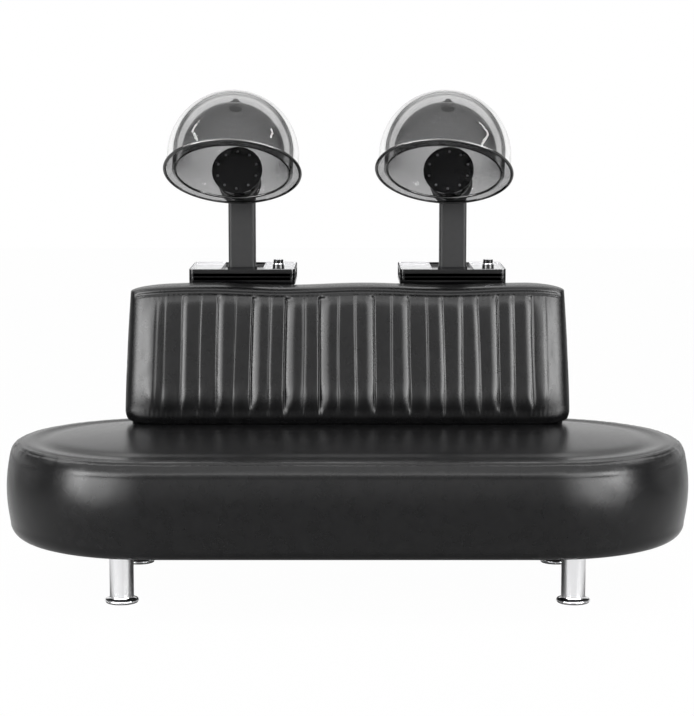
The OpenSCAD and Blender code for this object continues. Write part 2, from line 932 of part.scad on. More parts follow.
// Neck: a spigot that turns in the post, and a forked head that reaches forward to the pin
module neck() {
    head_d = post_d / 2 + pin_fore + ear_r;
    color("#434447")
    difference() {
        union() {
            intersection() {
                translate([-post_w / 2, 0, 0])
                    rotate([90, 0, 90]) linear_extrude(post_w) polygon(head_outline());
                translate([0, (post_d - head_d) / 2, head_z])
                    rounded_plate(post_w, head_d, post_r, pin_z - head_z + 2 * ear_r);
            }
            translate([0, 0, head_z - spigot_l]) cylinder(h = spigot_l + over, d = spigot_d);
        }
        translate([-slot_w / 2, -head_d, pin_z - slot_drop])
            cube([slot_w, 2 * head_d, slot_drop + post_w]);
        translate([0, 0, head_z - spigot_l - over])
            cylinder(h = spigot_l - over, r = spigot_bore_r);
        translate([-post_w, -pin_fore, pin_z])
            rotate([0, 90, 0]) cylinder(h = 2 * post_w, r = pin_d / 2 + run_gap);
        for (side = [0, 180])
            translate([0, -pin_fore, pin_z])
                rotate([0, 90, side])
                    translate([0, 0, post_w / 2 - pin_head_t])
                        cylinder(h = post_w, r = pin_head_r + run_gap);
    }
}

// Tilt pin with a flat head at each end
module tilt_pin() {
    color("#b9bcc0")
    rotate([0, 90, 0])
        union() {
            cylinder(h = post_w - pin_head_t, d = pin_d, center = true);
            for (side = [-1, 1])
                translate([0, 0, side * (post_w - pin_head_t) / 2])
                    cylinder(h = pin_head_t, r = pin_head_r, center = true);
        }
}

// Blower housing: a can with rear vents, side outlets and the tilt lug
module blower_housing() {
    outlet_mid = (inner_r + mid_r - outer_wall) / 2;
    color("#1d1d20")
    difference() {
        union() {
            difference() {
                along_y(disc_back, drum_rear, drum_d / 2);
                along_y(disc_back - over, drum_rear - drum_wall, drum_d / 2 - drum_wall);
            }
            difference() {
                along_y(disc_back, disc_back + drum_lip_t, (drum_d - drum_wall) / 2);
                along_y(disc_back - over, disc_back + drum_lip_t + over, drum_d / 2 - drum_lip_w);
            }
            translate([-lug_w / 2, drum_rear - drum_wall / 2, -lug_r])
                cube([lug_w, drum_back + drum_wall / 2, 2 * lug_r]);
            translate([-lug_w / 2, pin_reach, 0])
                rotate([0, 90, 0]) cylinder(h = lug_w, r = lug_r);
        }
        translate([-post_w, pin_reach, 0])
            rotate([0, 90, 0]) cylinder(h = 2 * post_w, r = pin_d / 2 + run_gap);
        for (side = [-1, 1], i = [0:len(vent_reach_shares) - 1])
            let (
                place = side * (lug_w / 2 + vent_start + vent_step * i),
                reach = drum_d * vent_reach_shares[i]
            )
                translate([place - vent_w / 2, drum_rear - drum_wall - over, -reach])
                    cube([vent_w, drum_wall + 2 * over, 2 * reach]);
        for (i = [0:outlet_count - 1])
            rotate([0, 360 * (i + 0.5) / outlet_count, 0])
                translate([-outlet_w / 2, outlet_mid - outlet_l / 2, 0])
                    cube([outlet_w, outlet_l, drum_d]);
        disc_screw_places()
            along_y(-over, drum_lip_t + over, disc_screw_r + run_gap);
    }
}

// Places of the screws behind the disc
module disc_screw_places() {
    for (i = [0:disc_screws - 1])
        rotate([0, 360 * i / disc_screws, 0])
            translate([0, disc_back, drum_d / 2 - drum_lip_w / 2]) children();
}

module motor() {
    front = motor_rear - motor_l;
    color("#77797d")
    difference() {
        union() {
            along_y(front, motor_rear, motor_d / 2);
            along_y(front - motor_boss_l, motor_rear, motor_boss_r);
        }
        along_y(front - motor_boss_l - over, motor_rear - motor_back_t, shaft_r + run_gap);
    }
}

// Fan with its shaft: a back plate, a hub and blades set at an angle
module fan() {
    front = fan_rear - fan_plate_t - fan_w;
    color("#c9c6bb")
    union() {
        along_y(fan_rear - fan_plate_t, fan_rear, fan_d / 2);
        along_y(front, fan_rear, fan_hub_r);
        along_y(front, motor_rear - 2 * motor_back_t, shaft_r);
        intersection() {
            for (i = [0:fan_blades - 1])
                rotate([0, 360 * i / fan_blades, 0])
                    translate([0, 0, fan_hub_r - over])
                        rotate([0, blade_angle, 0])
                            translate([-blade_t / 2, front, 0])
                                cube([blade_t, fan_w + over, fan_d / 2]);
            along_y(front - over, fan_rear - fan_plate_t / 2, fan_d / 2);
        }
    }
}

// Heater: two element rings on a cross of ribs that ends on the housing's wall
module heater() {
    front = disc_back + drum_lip_t + seat_gap;
    reach = drum_d / 2 - drum_wall - run_gap;
    color("#a5713f")
    union() {
        for (r = [heater_r, heater_r - heater_step])
            translate([0, front, 0])
                rotate([-90, 0, 0])
                    rotate_extrude()
                        translate([r, heater_t / 2])
                            circle(r = heater_t / 2, $fn = 32);
        intersection() {
            for (angle = [0, 90])
                rotate([0, angle, 0])
                    translate([-reach, front, -heater_rib / 2])
                        cube([2 * reach, heater_t, heater_rib]);
            along_y(front, front + heater_t, reach);
        }
    }
}

// Black disc that closes the blower inside the hood
module blower_disc() {
    color("#0c0c0e")
    difference() {
        along_y(disc_reach, disc_back, disc_d / 2);
        along_y(disc_reach - over, disc_reach + disc_dish, disc_d / 2 * disc_dish_share);
        disc_screw_places()
            along_y(-disc_t - over, over, disc_screw_r + run_gap);
    }
}

module disc_screw_set() {
    color("#5d6064")
    disc_screw_places() {
        along_y(-disc_t - disc_head_t, -disc_t, disc_head_r);
        along_y(-disc_t - disc_head_t / 2, disc_screw_l, disc_screw_r);
    }
}

// Solid bell: a ball on a skirt that widens down to the rim ring
module bell(r, centre, flare, low) {
    span = centre - low;
    union() {
        translate([0, 0, centre])
            intersection() {
                sphere(r = r);
                cylinder(h = r + over, r = r + over);
            }
        rotate_extrude()
            polygon(concat(
                [[0, low]],
                [for (i = [0:7]) let (share = i / 7)
                    [r + flare * pow(1 - share, 2), low + span * share]],
                [[0, centre]]
            ));
    }
}

// One wall of the outer dome
module dome_wall(r, centre, flare)
    difference() {
        bell(r, centre, flare, rim_t);
        bell(r - outer_wall, centre, flare, rim_t - over);
    }

// Clear outer dome: two walls that meet at the crown, open where the blower goes through
module outer_hood() {
    color("#6e7075", 0.45)
    difference() {
        union() {
            dome_wall(outer_r, outer_c, outer_flare);
            dome_wall(mid_r, mid_c, 0);
        }
        blower_axis()
            along_y(inner_r, pin_reach, drum_d / 2 + seat_gap);
    }
}

// Inner dome with rings of air holes round its crown
module inner_hood() {
    color("#3b3c40", 0.7)
    difference() {
        bell(inner_r, inner_c, lip_flare, rim_t);
        bell(inner_r - inner_wall, inner_c, lip_flare, rim_t - over);
        blower_axis()
            along_y(disc_back, pin_reach, drum_d / 2 + seat_gap);
        for (ring = [0:air_rings - 1])
            let (
                polar = air_ring_start + ring * air_ring_step,
                count = floor(2 * PI * inner_r * sin(polar) / air_hole_pitch)
            )
                for (i = [0:count - 1])
                    translate([0, 0, inner_c])
                        rotate([0, polar, 360 * (i + ring / 2) / count])
                            translate([0, 0, inner_r - inner_wall - over])
                                cylinder(h = inner_wall + 2 * over, d = air_hole_d, $fn = 24);
    }
}

// Flat ring that joins the two domes at the rim
module rim_ring() {
    color("#85878b", 0.6)
    difference() {
        cylinder(h = rim_t, r = ring_out_r);
        translate([0, 0, -over])
            cylinder(h = rim_t + 2 * over, r = ring_in_r);
        blower_axis()
            along_y(inner_r, pin_reach, drum_d / 2 + seat_gap);
    }
}

// Soft edging over the ring's outer and inner edges
module rim_edging() {
    bead = rim_t / 2;
    color("#0f0f10")
    union() {
        rotate_extrude()
            difference() {
                translate([ring_out_r, rim_t / 2]) circle(r = edging_r);
                translate([ring_out_r - 2 * edging_r, 0]) square([2 * edging_r, 2 * edging_r]);
            }
        rotate_extrude()
            difference() {
                translate([ring_in_r, bead]) circle(r = bead);
                translate([ring_in_r, 0]) square([2 * bead, 2 * bead]);
            }
    }
}

// Spacer between the crowns of the two domes
module crown_cap() {
    low = inner_c + inner_r + run_gap;
    high = mid_c + mid_r - outer_wall - run_gap;
    color("#202022")
    union() {
        translate([0, 0, low]) cylinder(h = cap_h, r = cap_r);
        translate([0, 0, low]) cylinder(h = high - low - seat_gap, r = cap_stud_r);
    }
}

seat_cover();
seat_foam();
seat_frame();
bottom_board();
at_leg(-1, -1) leg();  // front_left_leg
at_leg(1, -1) leg();  // front_right_leg
at_leg(-1, 1) leg();  // rear_left_leg
at_leg(1, 1) leg();  // rear_right_leg
leg_glides();
back_cushion();
back_panel();
upright(-1);  // left_upright
upright(1);  // right_upright
frame_screws();
bracket(-1);  // left_bracket
at_box(-1) box_base();  // left_box_base
at_box(-1) box_cover();  // left_box_cover
at_box(-1) box_panels();  // left_box_panels
at_box(-1) power_inlet();  // left_power_inlet
at_knob(-1) timer_switch();  // left_timer_switch
at_knob(-1) timer_knob();  // left_timer_knob
at_dryer(-1) post_collar();  // left_post_collar
at_dryer(-1) post();  // left_post
at_dryer(-1) post_bush();  // left_post_bush
at_neck(-1) neck();  // left_neck
at_pin(-1) tilt_pin();  // left_tilt_pin
at_blower(-1) blower_housing();  // left_blower_housing
at_blower(-1) motor();  // left_motor
at_blower(-1) fan();  // left_fan
at_blower(-1) heater();  // left_heater
at_blower(-1) blower_disc();  // left_blower_disc
at_blower(-1) disc_screw_set();  // left_disc_screws
at_hood(-1) inner_hood();  // left_inner_hood
at_hood(-1) outer_hood();  // left_outer_hood
at_hood(-1) rim_ring();  // left_rim_ring
at_hood(-1) rim_edging();  // left_rim_edging
at_hood(-1) crown_cap();  // left_crown_cap
bracket(1);  // right_bracket
at_box(1) box_base();  // right_box_base
at_box(1) box_cover();  // right_box_cover
at_box(1) box_panels();  // right_box_panels
at_box(1) power_inlet();  // right_power_inlet
at_knob(1) timer_switch();  // right_timer_switch
at_knob(1) timer_knob();  // right_timer_knob
at_dryer(1) post_collar();  // right_post_collar
at_dryer(1) post();  // right_post
at_dryer(1) post_bush();  // right_post_bush
at_neck(1) neck();  // right_neck
at_pin(1) tilt_pin();  // right_tilt_pin
at_blower(1) blower_housing();  // right_blower_housing
at_blower(1) motor();  // right_motor
at_blower(1) fan();  // right_fan
at_blower(1) heater();  // right_heater
at_blower(1) blower_disc();  // right_blower_disc
at_blower(1) disc_screw_set();  // right_disc_screws
at_hood(1) inner_hood();  // right_inner_hood
at_hood(1) outer_hood();  // right_outer_hood
at_hood(1) rim_ring();  // right_rim_ring
at_hood(1) rim_edging();  // right_rim_edging
at_hood(1) crown_cap();  // right_crown_cap
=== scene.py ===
# Two-seat salon dryer bench: finishes, leather cushions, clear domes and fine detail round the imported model
import json
import math

import bpy
import numpy as np
from mathutils import Matrix, Vector


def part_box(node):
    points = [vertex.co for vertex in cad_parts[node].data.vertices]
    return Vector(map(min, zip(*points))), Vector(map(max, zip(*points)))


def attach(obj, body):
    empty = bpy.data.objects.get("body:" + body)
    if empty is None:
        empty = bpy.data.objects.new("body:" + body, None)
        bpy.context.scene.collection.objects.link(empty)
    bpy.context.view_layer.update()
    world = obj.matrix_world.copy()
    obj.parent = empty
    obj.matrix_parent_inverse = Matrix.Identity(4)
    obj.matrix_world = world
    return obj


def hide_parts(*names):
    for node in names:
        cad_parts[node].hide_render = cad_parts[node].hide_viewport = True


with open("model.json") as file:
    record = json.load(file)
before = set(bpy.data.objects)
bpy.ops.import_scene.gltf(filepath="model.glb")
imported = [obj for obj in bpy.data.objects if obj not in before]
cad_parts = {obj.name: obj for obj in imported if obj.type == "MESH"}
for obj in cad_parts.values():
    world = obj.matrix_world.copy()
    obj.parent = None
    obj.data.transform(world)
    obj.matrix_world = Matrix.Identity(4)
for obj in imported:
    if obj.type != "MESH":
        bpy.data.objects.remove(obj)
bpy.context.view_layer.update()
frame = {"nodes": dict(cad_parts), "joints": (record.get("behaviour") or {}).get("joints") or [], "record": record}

nodes = frame["nodes"]
scene = bpy.context.scene
joints = {joint["name"]: joint for joint in frame["joints"]}

# Camera: a long lens at head height in front of the bench, looking a little down
shot = {
    "distance": 5.590,       # from the seat's middle
    "across": -0.0013,
    "height": 1.303,
    "pitch": 7.17,           # degrees down
    "focalPixels": 2136,
    "frameHeight": 716,
    "sensor": 36,
}
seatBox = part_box("seat_cover")
seatMiddle = (seatBox[0] + seatBox[1]) / 2


def placeCamera():
    data = bpy.data.cameras.new("shotCamera")
    data.lens = shot["focalPixels"] * shot["sensor"] / shot["frameHeight"]
    data.sensor_width = shot["sensor"]
    eye = bpy.data.objects.new("shotCamera", data)
    scene.collection.objects.link(eye)
    eye.location = (shot["across"], seatMiddle.y - shot["distance"], shot["height"])
    eye.rotation_euler = (math.radians(90 - shot["pitch"]), 0, 0)
    scene.camera = eye


placeCamera()
print("camera placed")


# Small helpers for modelling by hand
def clearSelection():
    if bpy.context.object and bpy.context.object.mode != "OBJECT":
        bpy.ops.object.mode_set(mode="OBJECT")
    bpy.ops.object.select_all(action="DESELECT")


def workOn(piece):
    clearSelection()
    piece.select_set(True)
    bpy.context.view_layer.objects.active = piece


def finishPiece(piece, body, slot, smoothAngle=None, replaced=()):
    workOn(piece)
    bpy.ops.object.transform_apply(location=True, rotation=True, scale=True)
    if smoothAngle is None:
        bpy.ops.object.shade_smooth()
    else:
        bpy.ops.object.shade_smooth_by_angle(angle=math.radians(smoothAngle))
    piece.data.materials.clear()
    piece.data.materials.append(finishes[slot])
    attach(piece, body)
    if replaced:
        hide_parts(*replaced)
    return piece


def applyModifiers(piece):
    workOn(piece)
    for modifier in list(piece.modifiers):
        bpy.ops.object.modifier_apply(modifier=modifier.name)


def roundEdges(piece, width, segments=2, angle=35):
    bevel = piece.modifiers.new("roundEdges", "BEVEL")
    bevel.width = width
    bevel.segments = segments
    bevel.limit_method = "ANGLE"
    bevel.angle_limit = math.radians(angle)
    applyModifiers(piece)


def cutAway(piece, cutter):
    cut = piece.modifiers.new("cut", "BOOLEAN")
    cut.object = cutter
    cut.operation = "DIFFERENCE"
    cut.solver = "EXACT"
    applyModifiers(piece)
    bpy.data.objects.remove(cutter)


def joinPieces(pieces, name):
    workOn(pieces[0])
    for piece in pieces[1:]:
        piece.select_set(True)
    bpy.ops.object.join()
    bpy.context.object.name = name
    return bpy.context.object


def twin(piece, name):
    copy = piece.copy()
    copy.data = piece.data.copy()
    copy.name = name
    scene.collection.objects.link(copy)
    return copy


def cylinder(name, radius, depth, place, sides=48, turn=(0, 0, 0)):
    clearSelection()
    bpy.ops.mesh.primitive_cylinder_add(vertices=sides, radius=radius, depth=depth, location=place, rotation=turn)
    bpy.context.object.name = name
    return bpy.context.object


def lathe(name, corners, steps):
    # one point is drawn along the section, then spun round the upright axis
    clearSelection()
    bpy.ops.mesh.primitive_plane_add(size=0.01, location=(0, 0, 0))
    piece = bpy.context.object
    piece.name = name
    bpy.ops.object.mode_set(mode="EDIT")
    bpy.ops.mesh.merge(type="CENTER")
    r, z = corners[0]
    bpy.ops.transform.translate(value=(r, 0, z))
    for (r0, z0), (r1, z1) in zip(corners, corners[1:]):
        bpy.ops.mesh.extrude_vertices_move(TRANSFORM_OT_translate={"value": (r1 - r0, 0, z1 - z0)})
    bpy.ops.mesh.select_all(action="SELECT")
    bpy.ops.mesh.spin(steps=steps, angle=2 * math.pi, center=(0, 0, 0), axis=(0, 0, 1))
    closeUp()
    return piece


def closeUp():
    bpy.ops.mesh.select_all(action="SELECT")
    bpy.ops.mesh.remove_doubles(threshold=2e-6)
    bpy.ops.mesh.normals_make_consistent(inside=False)
    bpy.ops.object.mode_set(mode="OBJECT")


def arcPoints(centre, radius, fromAngle, toAngle, steps):
    angles = [math.radians(fromAngle + (toAngle - fromAngle) * i / steps) for i in range(steps + 1)]
    return [(centre[0] + radius * math.cos(a), centre[1] + radius * math.sin(a)) for a in angles]


def skinFrom(name, grid):
    # grid[row][column] of points, closed along the columns
    rows, columns = grid.shape[:2]
    faces = []
    for row in range(rows - 1):
        for i in range(columns):
            j = (i + 1) % columns
            here, below = row * columns, (row + 1) * columns
            faces.append((here + i, here + j, below + j, below + i))
    mesh = bpy.data.meshes.new(name)
    mesh.from_pydata(grid.reshape(-1, 3).tolist(), [], faces)
    mesh.update()
    piece = bpy.data.objects.new(name, mesh)
    scene.collection.objects.link(piece)
    return piece


def capEnds(piece):
    workOn(piece)
    bpy.ops.object.mode_set(mode="EDIT")
    bpy.ops.mesh.select_all(action="SELECT")
    bpy.ops.mesh.remove_doubles(threshold=2e-6)
    bpy.ops.mesh.select_all(action="DESELECT")
    bpy.ops.mesh.select_non_manifold()
    bpy.ops.mesh.fill()
    closeUp()


def coordinates(piece):
    co = np.empty(len(piece.data.vertices) * 3)
    piece.data.vertices.foreach_get("co", co)
    return co.reshape(-1, 3)


def setCoordinates(piece, co):
    piece.data.vertices.foreach_set("co", np.asarray(co, dtype=np.float32).ravel())
    piece.data.update()


def vertexNormals(piece):
    out = np.empty(len(piece.data.vertices) * 3)
    piece.data.vertices.foreach_get("normal", out)
    return out.reshape(-1, 3)


def ease(t):
    t = np.clip(t, 0, 1)
    return t * t * (3 - 2 * t)


def ripple(x, y, seed, scale=1.0, waves=7):
    draw = np.random.default_rng(seed)
    total = np.zeros_like(x)
    for _ in range(waves):
        angle = draw.uniform(0, 2 * math.pi)
        pitch = draw.uniform(0.6, 2.2) * scale
        phase = draw.uniform(0, 2 * math.pi)
        total += np.sin((x * math.cos(angle) + y * math.sin(angle)) * 2 * math.pi / pitch + phase)
    return total / waves


# Finishes
def newFinish(name, colour, roughness, metallic=0.0, specular=0.5):
    finish = bpy.data.materials.new(name)
    finish.use_nodes = True
    shader = finish.node_tree.nodes["Principled BSDF"]
    shader.inputs["Base Color"].default_value = (*colour, 1)
    shader.inputs["Roughness"].default_value = roughness
    shader.inputs["Metallic"].default_value = metallic
    shader.inputs["Specular IOR Level"].default_value = specular
    return finish, finish.node_tree, shader


def objectPlace(tree, scale=(1, 1, 1)):
    place = tree.nodes.new("ShaderNodeTexCoord")
    mapping = tree.nodes.new("ShaderNodeMapping")
    mapping.inputs["Scale"].default_value = scale
    tree.links.new(place.outputs["Object"], mapping.inputs["Vector"])
    return mapping.outputs["Vector"]


def noiseAt(tree, vector, scale, detail=3.0, roughness=0.5):
    noise = tree.nodes.new("ShaderNodeTexNoise")
    noise.inputs["Scale"].default_value = scale
    noise.inputs["Detail"].default_value = detail
    noise.inputs["Roughness"].default_value = roughness
    tree.links.new(vector, noise.inputs["Vector"])
    return noise.outputs["Fac"]


def spread(tree, value, low, high, fromLow=0.3, fromHigh=0.7):
    reach = tree.nodes.new("ShaderNodeMapRange")
    reach.inputs["From Min"].default_value = fromLow
    reach.inputs["From Max"].default_value = fromHigh
    reach.inputs["To Min"].default_value = low
    reach.inputs["To Max"].default_value = high
    tree.links.new(value, reach.inputs["Value"])
    return reach.outputs["Result"]


def blendColours(tree, factor, first, second):
    mix = tree.nodes.new("ShaderNodeMix")
    mix.data_type = "RGBA"
    mix.inputs["A"].default_value = (*first, 1)
    mix.inputs["B"].default_value = (*second, 1)
    tree.links.new(factor, mix.inputs["Factor"])
    return mix.outputs["Result"]


def bumpFrom(tree, height, strength, distance, under=None):
    bump = tree.nodes.new("ShaderNodeBump")
    bump.inputs["Strength"].default_value = strength
    bump.inputs["Distance"].default_value = distance
    tree.links.new(height, bump.inputs["Height"])
    if under is not None:
        tree.links.new(under, bump.inputs["Normal"])
    return bump.outputs["Normal"]


leather = {
    "colour": (0.0044, 0.0044, 0.0047),
    "worn": (0.0082, 0.0082, 0.0086),
    "roughness": 0.23,
    "specular": 0.206,
    "pebbles": 620,
    "pebbleDepth": 0.00016,
    "creaseDepth": 0.00022,
}


def leatherFinish(name):
    finish, tree, shader = newFinish(name, leather["colour"], leather["roughness"], specular=leather["specular"])
    place = objectPlace(tree)
    pebble = tree.nodes.new("ShaderNodeTexVoronoi")
    pebble.feature = "DISTANCE_TO_EDGE"
    pebble.inputs["Scale"].default_value = leather["pebbles"]
    tree.links.new(place, pebble.inputs["Vector"])
    mottle = noiseAt(tree, place, 34, 5)
    fine = noiseAt(tree, place, 260, 3)
    tint = blendColours(tree, spread(tree, mottle, 0, 1), leather["colour"], leather["worn"])
    tree.links.new(tint, shader.inputs["Base Color"])
    creases = bumpFrom(tree, fine, 0.35, leather["creaseDepth"])
    height = spread(tree, pebble.outputs["Distance"], 0, 1, 0, 0.35)
    tree.links.new(bumpFrom(tree, height, 0.3, leather["pebbleDepth"], creases), shader.inputs["Normal"])
    return finish


def plainFinish(name, colour, tinted, roughness, grain=180, depth=0.0001, specular=0.5):
    finish, tree, shader = newFinish(name, colour, roughness, specular=specular)
    place = objectPlace(tree)
    cloud = noiseAt(tree, place, grain * 0.12, 4)
    fine = noiseAt(tree, place, grain, 3)
    tree.links.new(blendColours(tree, spread(tree, cloud, 0, 1), colour, tinted), shader.inputs["Base Color"])
    low = max(0.02, roughness - 0.05)
    tree.links.new(spread(tree, cloud, low, roughness + 0.05), shader.inputs["Roughness"])
    tree.links.new(bumpFrom(tree, fine, 0.4, depth), shader.inputs["Normal"])
    return finish


def brushedFinish(name, colour, tinted, roughness, stretch, depth=0.00003):
    finish, tree, shader = newFinish(name, colour, roughness, metallic=1.0)
    place = objectPlace(tree, stretch)
    streaks = noiseAt(tree, place, 60, 4, 0.6)
    tree.links.new(blendColours(tree, spread(tree, streaks, 0, 1), colour, tinted), shader.inputs["Base Color"])
    tree.links.new(spread(tree, streaks, roughness * 0.7, roughness * 1.4), shader.inputs["Roughness"])
    tree.links.new(bumpFrom(tree, streaks, 0.15, depth), shader.inputs["Normal"])
    return finish


def smokeFinish(name, tint, deeper, roughness, absorbed, ior=1.49):
    # tinted acrylic: the colour lies in the wall's depth, so an edge looks darker than a face
    finish, tree, shader = newFinish(name, tint, roughness)
    shader.inputs["Transmission Weight"].default_value = 1.0
    shader.inputs["IOR"].default_value = ior
    cloud = noiseAt(tree, objectPlace(tree), 9, 3)
    tree.links.new(blendColours(tree, spread(tree, cloud, 0, 1), tint, deeper), shader.inputs["Base Color"])
    if absorbed:
        depth = tree.nodes.new("ShaderNodeVolumeAbsorption")
        depth.inputs["Color"].default_value = (0.5, 0.5, 0.505, 1)
        depth.inputs["Density"].default_value = absorbed
        tree.links.new(depth.outputs["Volume"], tree.nodes["Material Output"].inputs["Volume"])
    return finish


def filmFinish(name, tint, deeper, roughness, clear, edge):
    # a thin tinted shell, nearly clear face on and dark where it is seen edge on
    finish, tree, shader = newFinish(name, tint, roughness, specular=0.0)
    cloud = noiseAt(tree, objectPlace(tree), 9, 3)
    tree.links.new(blendColours(tree, spread(tree, cloud, 0, 1), tint, deeper), shader.inputs["Base Color"])
    facing = tree.nodes.new("ShaderNodeLayerWeight")
    tree.links.new(spread(tree, facing.outputs["Facing"], clear, edge, 0.70, 0.86), shader.inputs["Alpha"])
    return finish


def woodFinish(name, light, dark):
    finish, tree, shader = newFinish(name, light, 0.6)
    place = objectPlace(tree, (1.2, 14, 14))
    rings = noiseAt(tree, place, 5, 6, 0.65)
    tree.links.new(blendColours(tree, spread(tree, rings, 0, 1), light, dark), shader.inputs["Base Color"])
    tree.links.new(bumpFrom(tree, rings, 0.3, 0.0004), shader.inputs["Normal"])
    return finish


finishes = {
    "black_leather": leatherFinish("blackLeather"),
    "foam": plainFinish("creamFoam", (0.78, 0.72, 0.47), (0.84, 0.78, 0.55), 0.9, 220, 0.0008),
    "plywood": woodFinish("birchPlywood", (0.62, 0.44, 0.25), (0.42, 0.27, 0.13)),
    "black_board": woodFinish("blackBoard", (0.012, 0.012, 0.013), (0.022, 0.022, 0.023)),
    "chrome": brushedFinish("chromedTube", (0.80, 0.80, 0.81), (0.70, 0.70, 0.71), 0.07, (1, 1, 0.03), 0.00012),
    "black_steel": plainFinish("blackSteel", (0.018, 0.018, 0.02), (0.026, 0.026, 0.028), 0.42, 420, 0.0002),
    "grey_steel": plainFinish("greySteel", (0.018, 0.018, 0.0185), (0.022, 0.022, 0.0225), 0.5, 520, 0.0001, 0.25),
    "gloss_black": plainFinish("glossBlack", (0.004, 0.004, 0.0045), (0.005, 0.005, 0.0055), 0.12, 90, 0.00003, 0.35),
    "matte_black": plainFinish("matteBlack", (0.005, 0.005, 0.0055), (0.008, 0.008, 0.0085), 0.5, 400, 0.0001, 0.12),
    "light_panel": plainFinish("lightPanel", (0.70, 0.70, 0.71), (0.64, 0.64, 0.65), 0.22, 120, 0.00003),
    "nylon": plainFinish("whiteNylon", (0.72, 0.70, 0.63), (0.66, 0.64, 0.57), 0.5, 300, 0.0001),
    "zinc": brushedFinish("zincScrew", (0.72, 0.72, 0.74), (0.6, 0.6, 0.62), 0.25, (1, 1, 1)),
    "motor_steel": brushedFinish("motorSteel", (0.36, 0.36, 0.37), (0.28, 0.28, 0.29), 0.38, (1, 0.1, 1)),
    "heater_wire": brushedFinish("heaterWire", (0.52, 0.36, 0.18), (0.40, 0.26, 0.13), 0.4, (1, 1, 1)),
    "clear_smoke": smokeFinish("clearShell", (1, 1, 1), (0.985, 0.985, 0.985), 0.012, 10, 1.22),
    "dark_smoke": smokeFinish("darkShell", (0.97, 0.97, 0.97), (0.93, 0.93, 0.93), 0.02, 520, 1.10),
    "rim_smoke": smokeFinish("rimRing", (0.97, 0.97, 0.97), (0.94, 0.94, 0.94), 0.05, 170, 1.3),
    "rubber_black": plainFinish("blackRubber", (0.008, 0.008, 0.008), (0.010, 0.010, 0.010), 0.10, 350, 0.00003, 1.0),
}
middleSmoke = filmFinish("middleShell", (0.02, 0.02, 0.02), (0.03, 0.03, 0.03), 0.3, 0.16, 0.80)
ownLooks = {
    "disc_screws": brushedFinish("dimScrew", (0.16, 0.16, 0.165), (0.11, 0.11, 0.115), 0.35, (1, 1, 1)),
    "neck": plainFinish("neckPaint", (0.006, 0.006, 0.0065), (0.009, 0.009, 0.0095), 0.45, 400, 0.0001, 0.15),
}


def dressNodes():
    for part in frame["record"]["subparts"]:
        node = nodes[part["node"]]
        node.data.materials.clear()
        own = ownLooks.get(part["node"].split("_", 1)[1])
        node.data.materials.append(own or finishes[part["material_slot"]])


dressNodes()
print("finishes ready")


# Cushions: a closed form is puffed up as cloth, and the fine skin takes on how the cloth swelled
def puffUp(form, voxel, pressure, cap, frames=20):
    remesh = form.modifiers.new("remesh", "REMESH")
    remesh.mode = "VOXEL"
    remesh.voxel_size = voxel
    applyModifiers(form)
    rest = coordinates(form)
    cloth = form.modifiers.new("cloth", "CLOTH")
    cloth.settings.quality = 4
    cloth.settings.mass = 0.4
    cloth.settings.tension_stiffness = 18
    cloth.settings.compression_stiffness = 18
    cloth.settings.shear_stiffness = 8
    cloth.settings.bending_stiffness = 1.5
    cloth.settings.use_pressure = True
    cloth.settings.uniform_pressure_force = pressure
    cloth.settings.effector_weights.gravity = 0
    for step in range(1, frames + 1):
        scene.frame_set(step)
    applyModifiers(form)
    scene.frame_set(1)
    moved = coordinates(form) - rest
    reach = np.linalg.norm(moved, axis=1, keepdims=True)
    setCoordinates(form, rest + moved * np.minimum(1, cap / np.maximum(reach, 1e-9)))


def swellOf(skin, form, shape, limit, blurs):
    # how far the puffed form stands off the skin, smoothed over the skin's own grid
    rest = coordinates(skin)
    out = vertexNormals(skin)
    probe = twin(skin, "probe")
    wrap = probe.modifiers.new("wrap", "SHRINKWRAP")
    wrap.target = form
    wrap.wrap_method = "NEAREST_SURFACEPOINT"
    applyModifiers(probe)
    swell = np.sum((coordinates(probe) - rest) * out, axis=1)
    bpy.data.objects.remove(probe)
    bpy.data.objects.remove(form)
    swell = np.clip(swell - np.median(swell), -limit, limit).reshape(shape)
    for _ in range(blurs):
        swell = (np.roll(swell, 1, axis=1) + 2 * swell + np.roll(swell, -1, axis=1)) / 4
        padded = np.pad(swell, ((1, 1), (0, 0)), mode="edge")
        swell = (padded[:-2] + 2 * swell + padded[2:]) / 4
    return swell


# Seat: a long round-ended cushion, sunk a little inside its edge roll, with a seam on the roll
seat = {
    "topRound": 0.034,
    "bottomRound": 0.042,
    "bulge": 0.008,
    "crown": 0.018,
    "trough": (0.306, 0.026, 0.0036),   # from the middle line, spread, depth
    "edgeRise": (0.345, 0.018, 0.0020),
    "hem": 0.08,                        # how far the cover is drawn in under the seat
    "spineGap": 0.004,
    "ringCrowding": 1.35,
    "seamAngle": 65,
    "seamWidth": 0.0022,
    "seamDepth": 0.0012,
    "seamLip": (0.0052, 0.0028, 0.0006),   # from the seam, spread, height
    "puckerDepth": 0.0006,
    "puckerReach": (0.008, 0.018),      # above and below the seam
    "puckers": (71, 97, 128, 163, 211),
    "slack": (0.0007, 0.34),            # depth, pitch
    "columns": 640,
    "fineSteps": (46, 44, 30, 12),
    "roughColumns": 160,
    "roughSteps": (12, 6, 10, 6),
    "voxel": 0.014,
    "pressure": 4,
    "cap": 0.006,
    "swell": 0.0022,
    "blurs": 6,
    "filled": 0.85,
}
seatHalf = seatBox[1].x - (seatBox[1].y - seatBox[0].y) / 2
seatTall = seatBox[1].z - seatBox[0].z
seatSide = (seatBox[1].y - seatBox[0].y) / 2 - seat["bulge"]
seatFlat = seatSide - seat["topRound"]


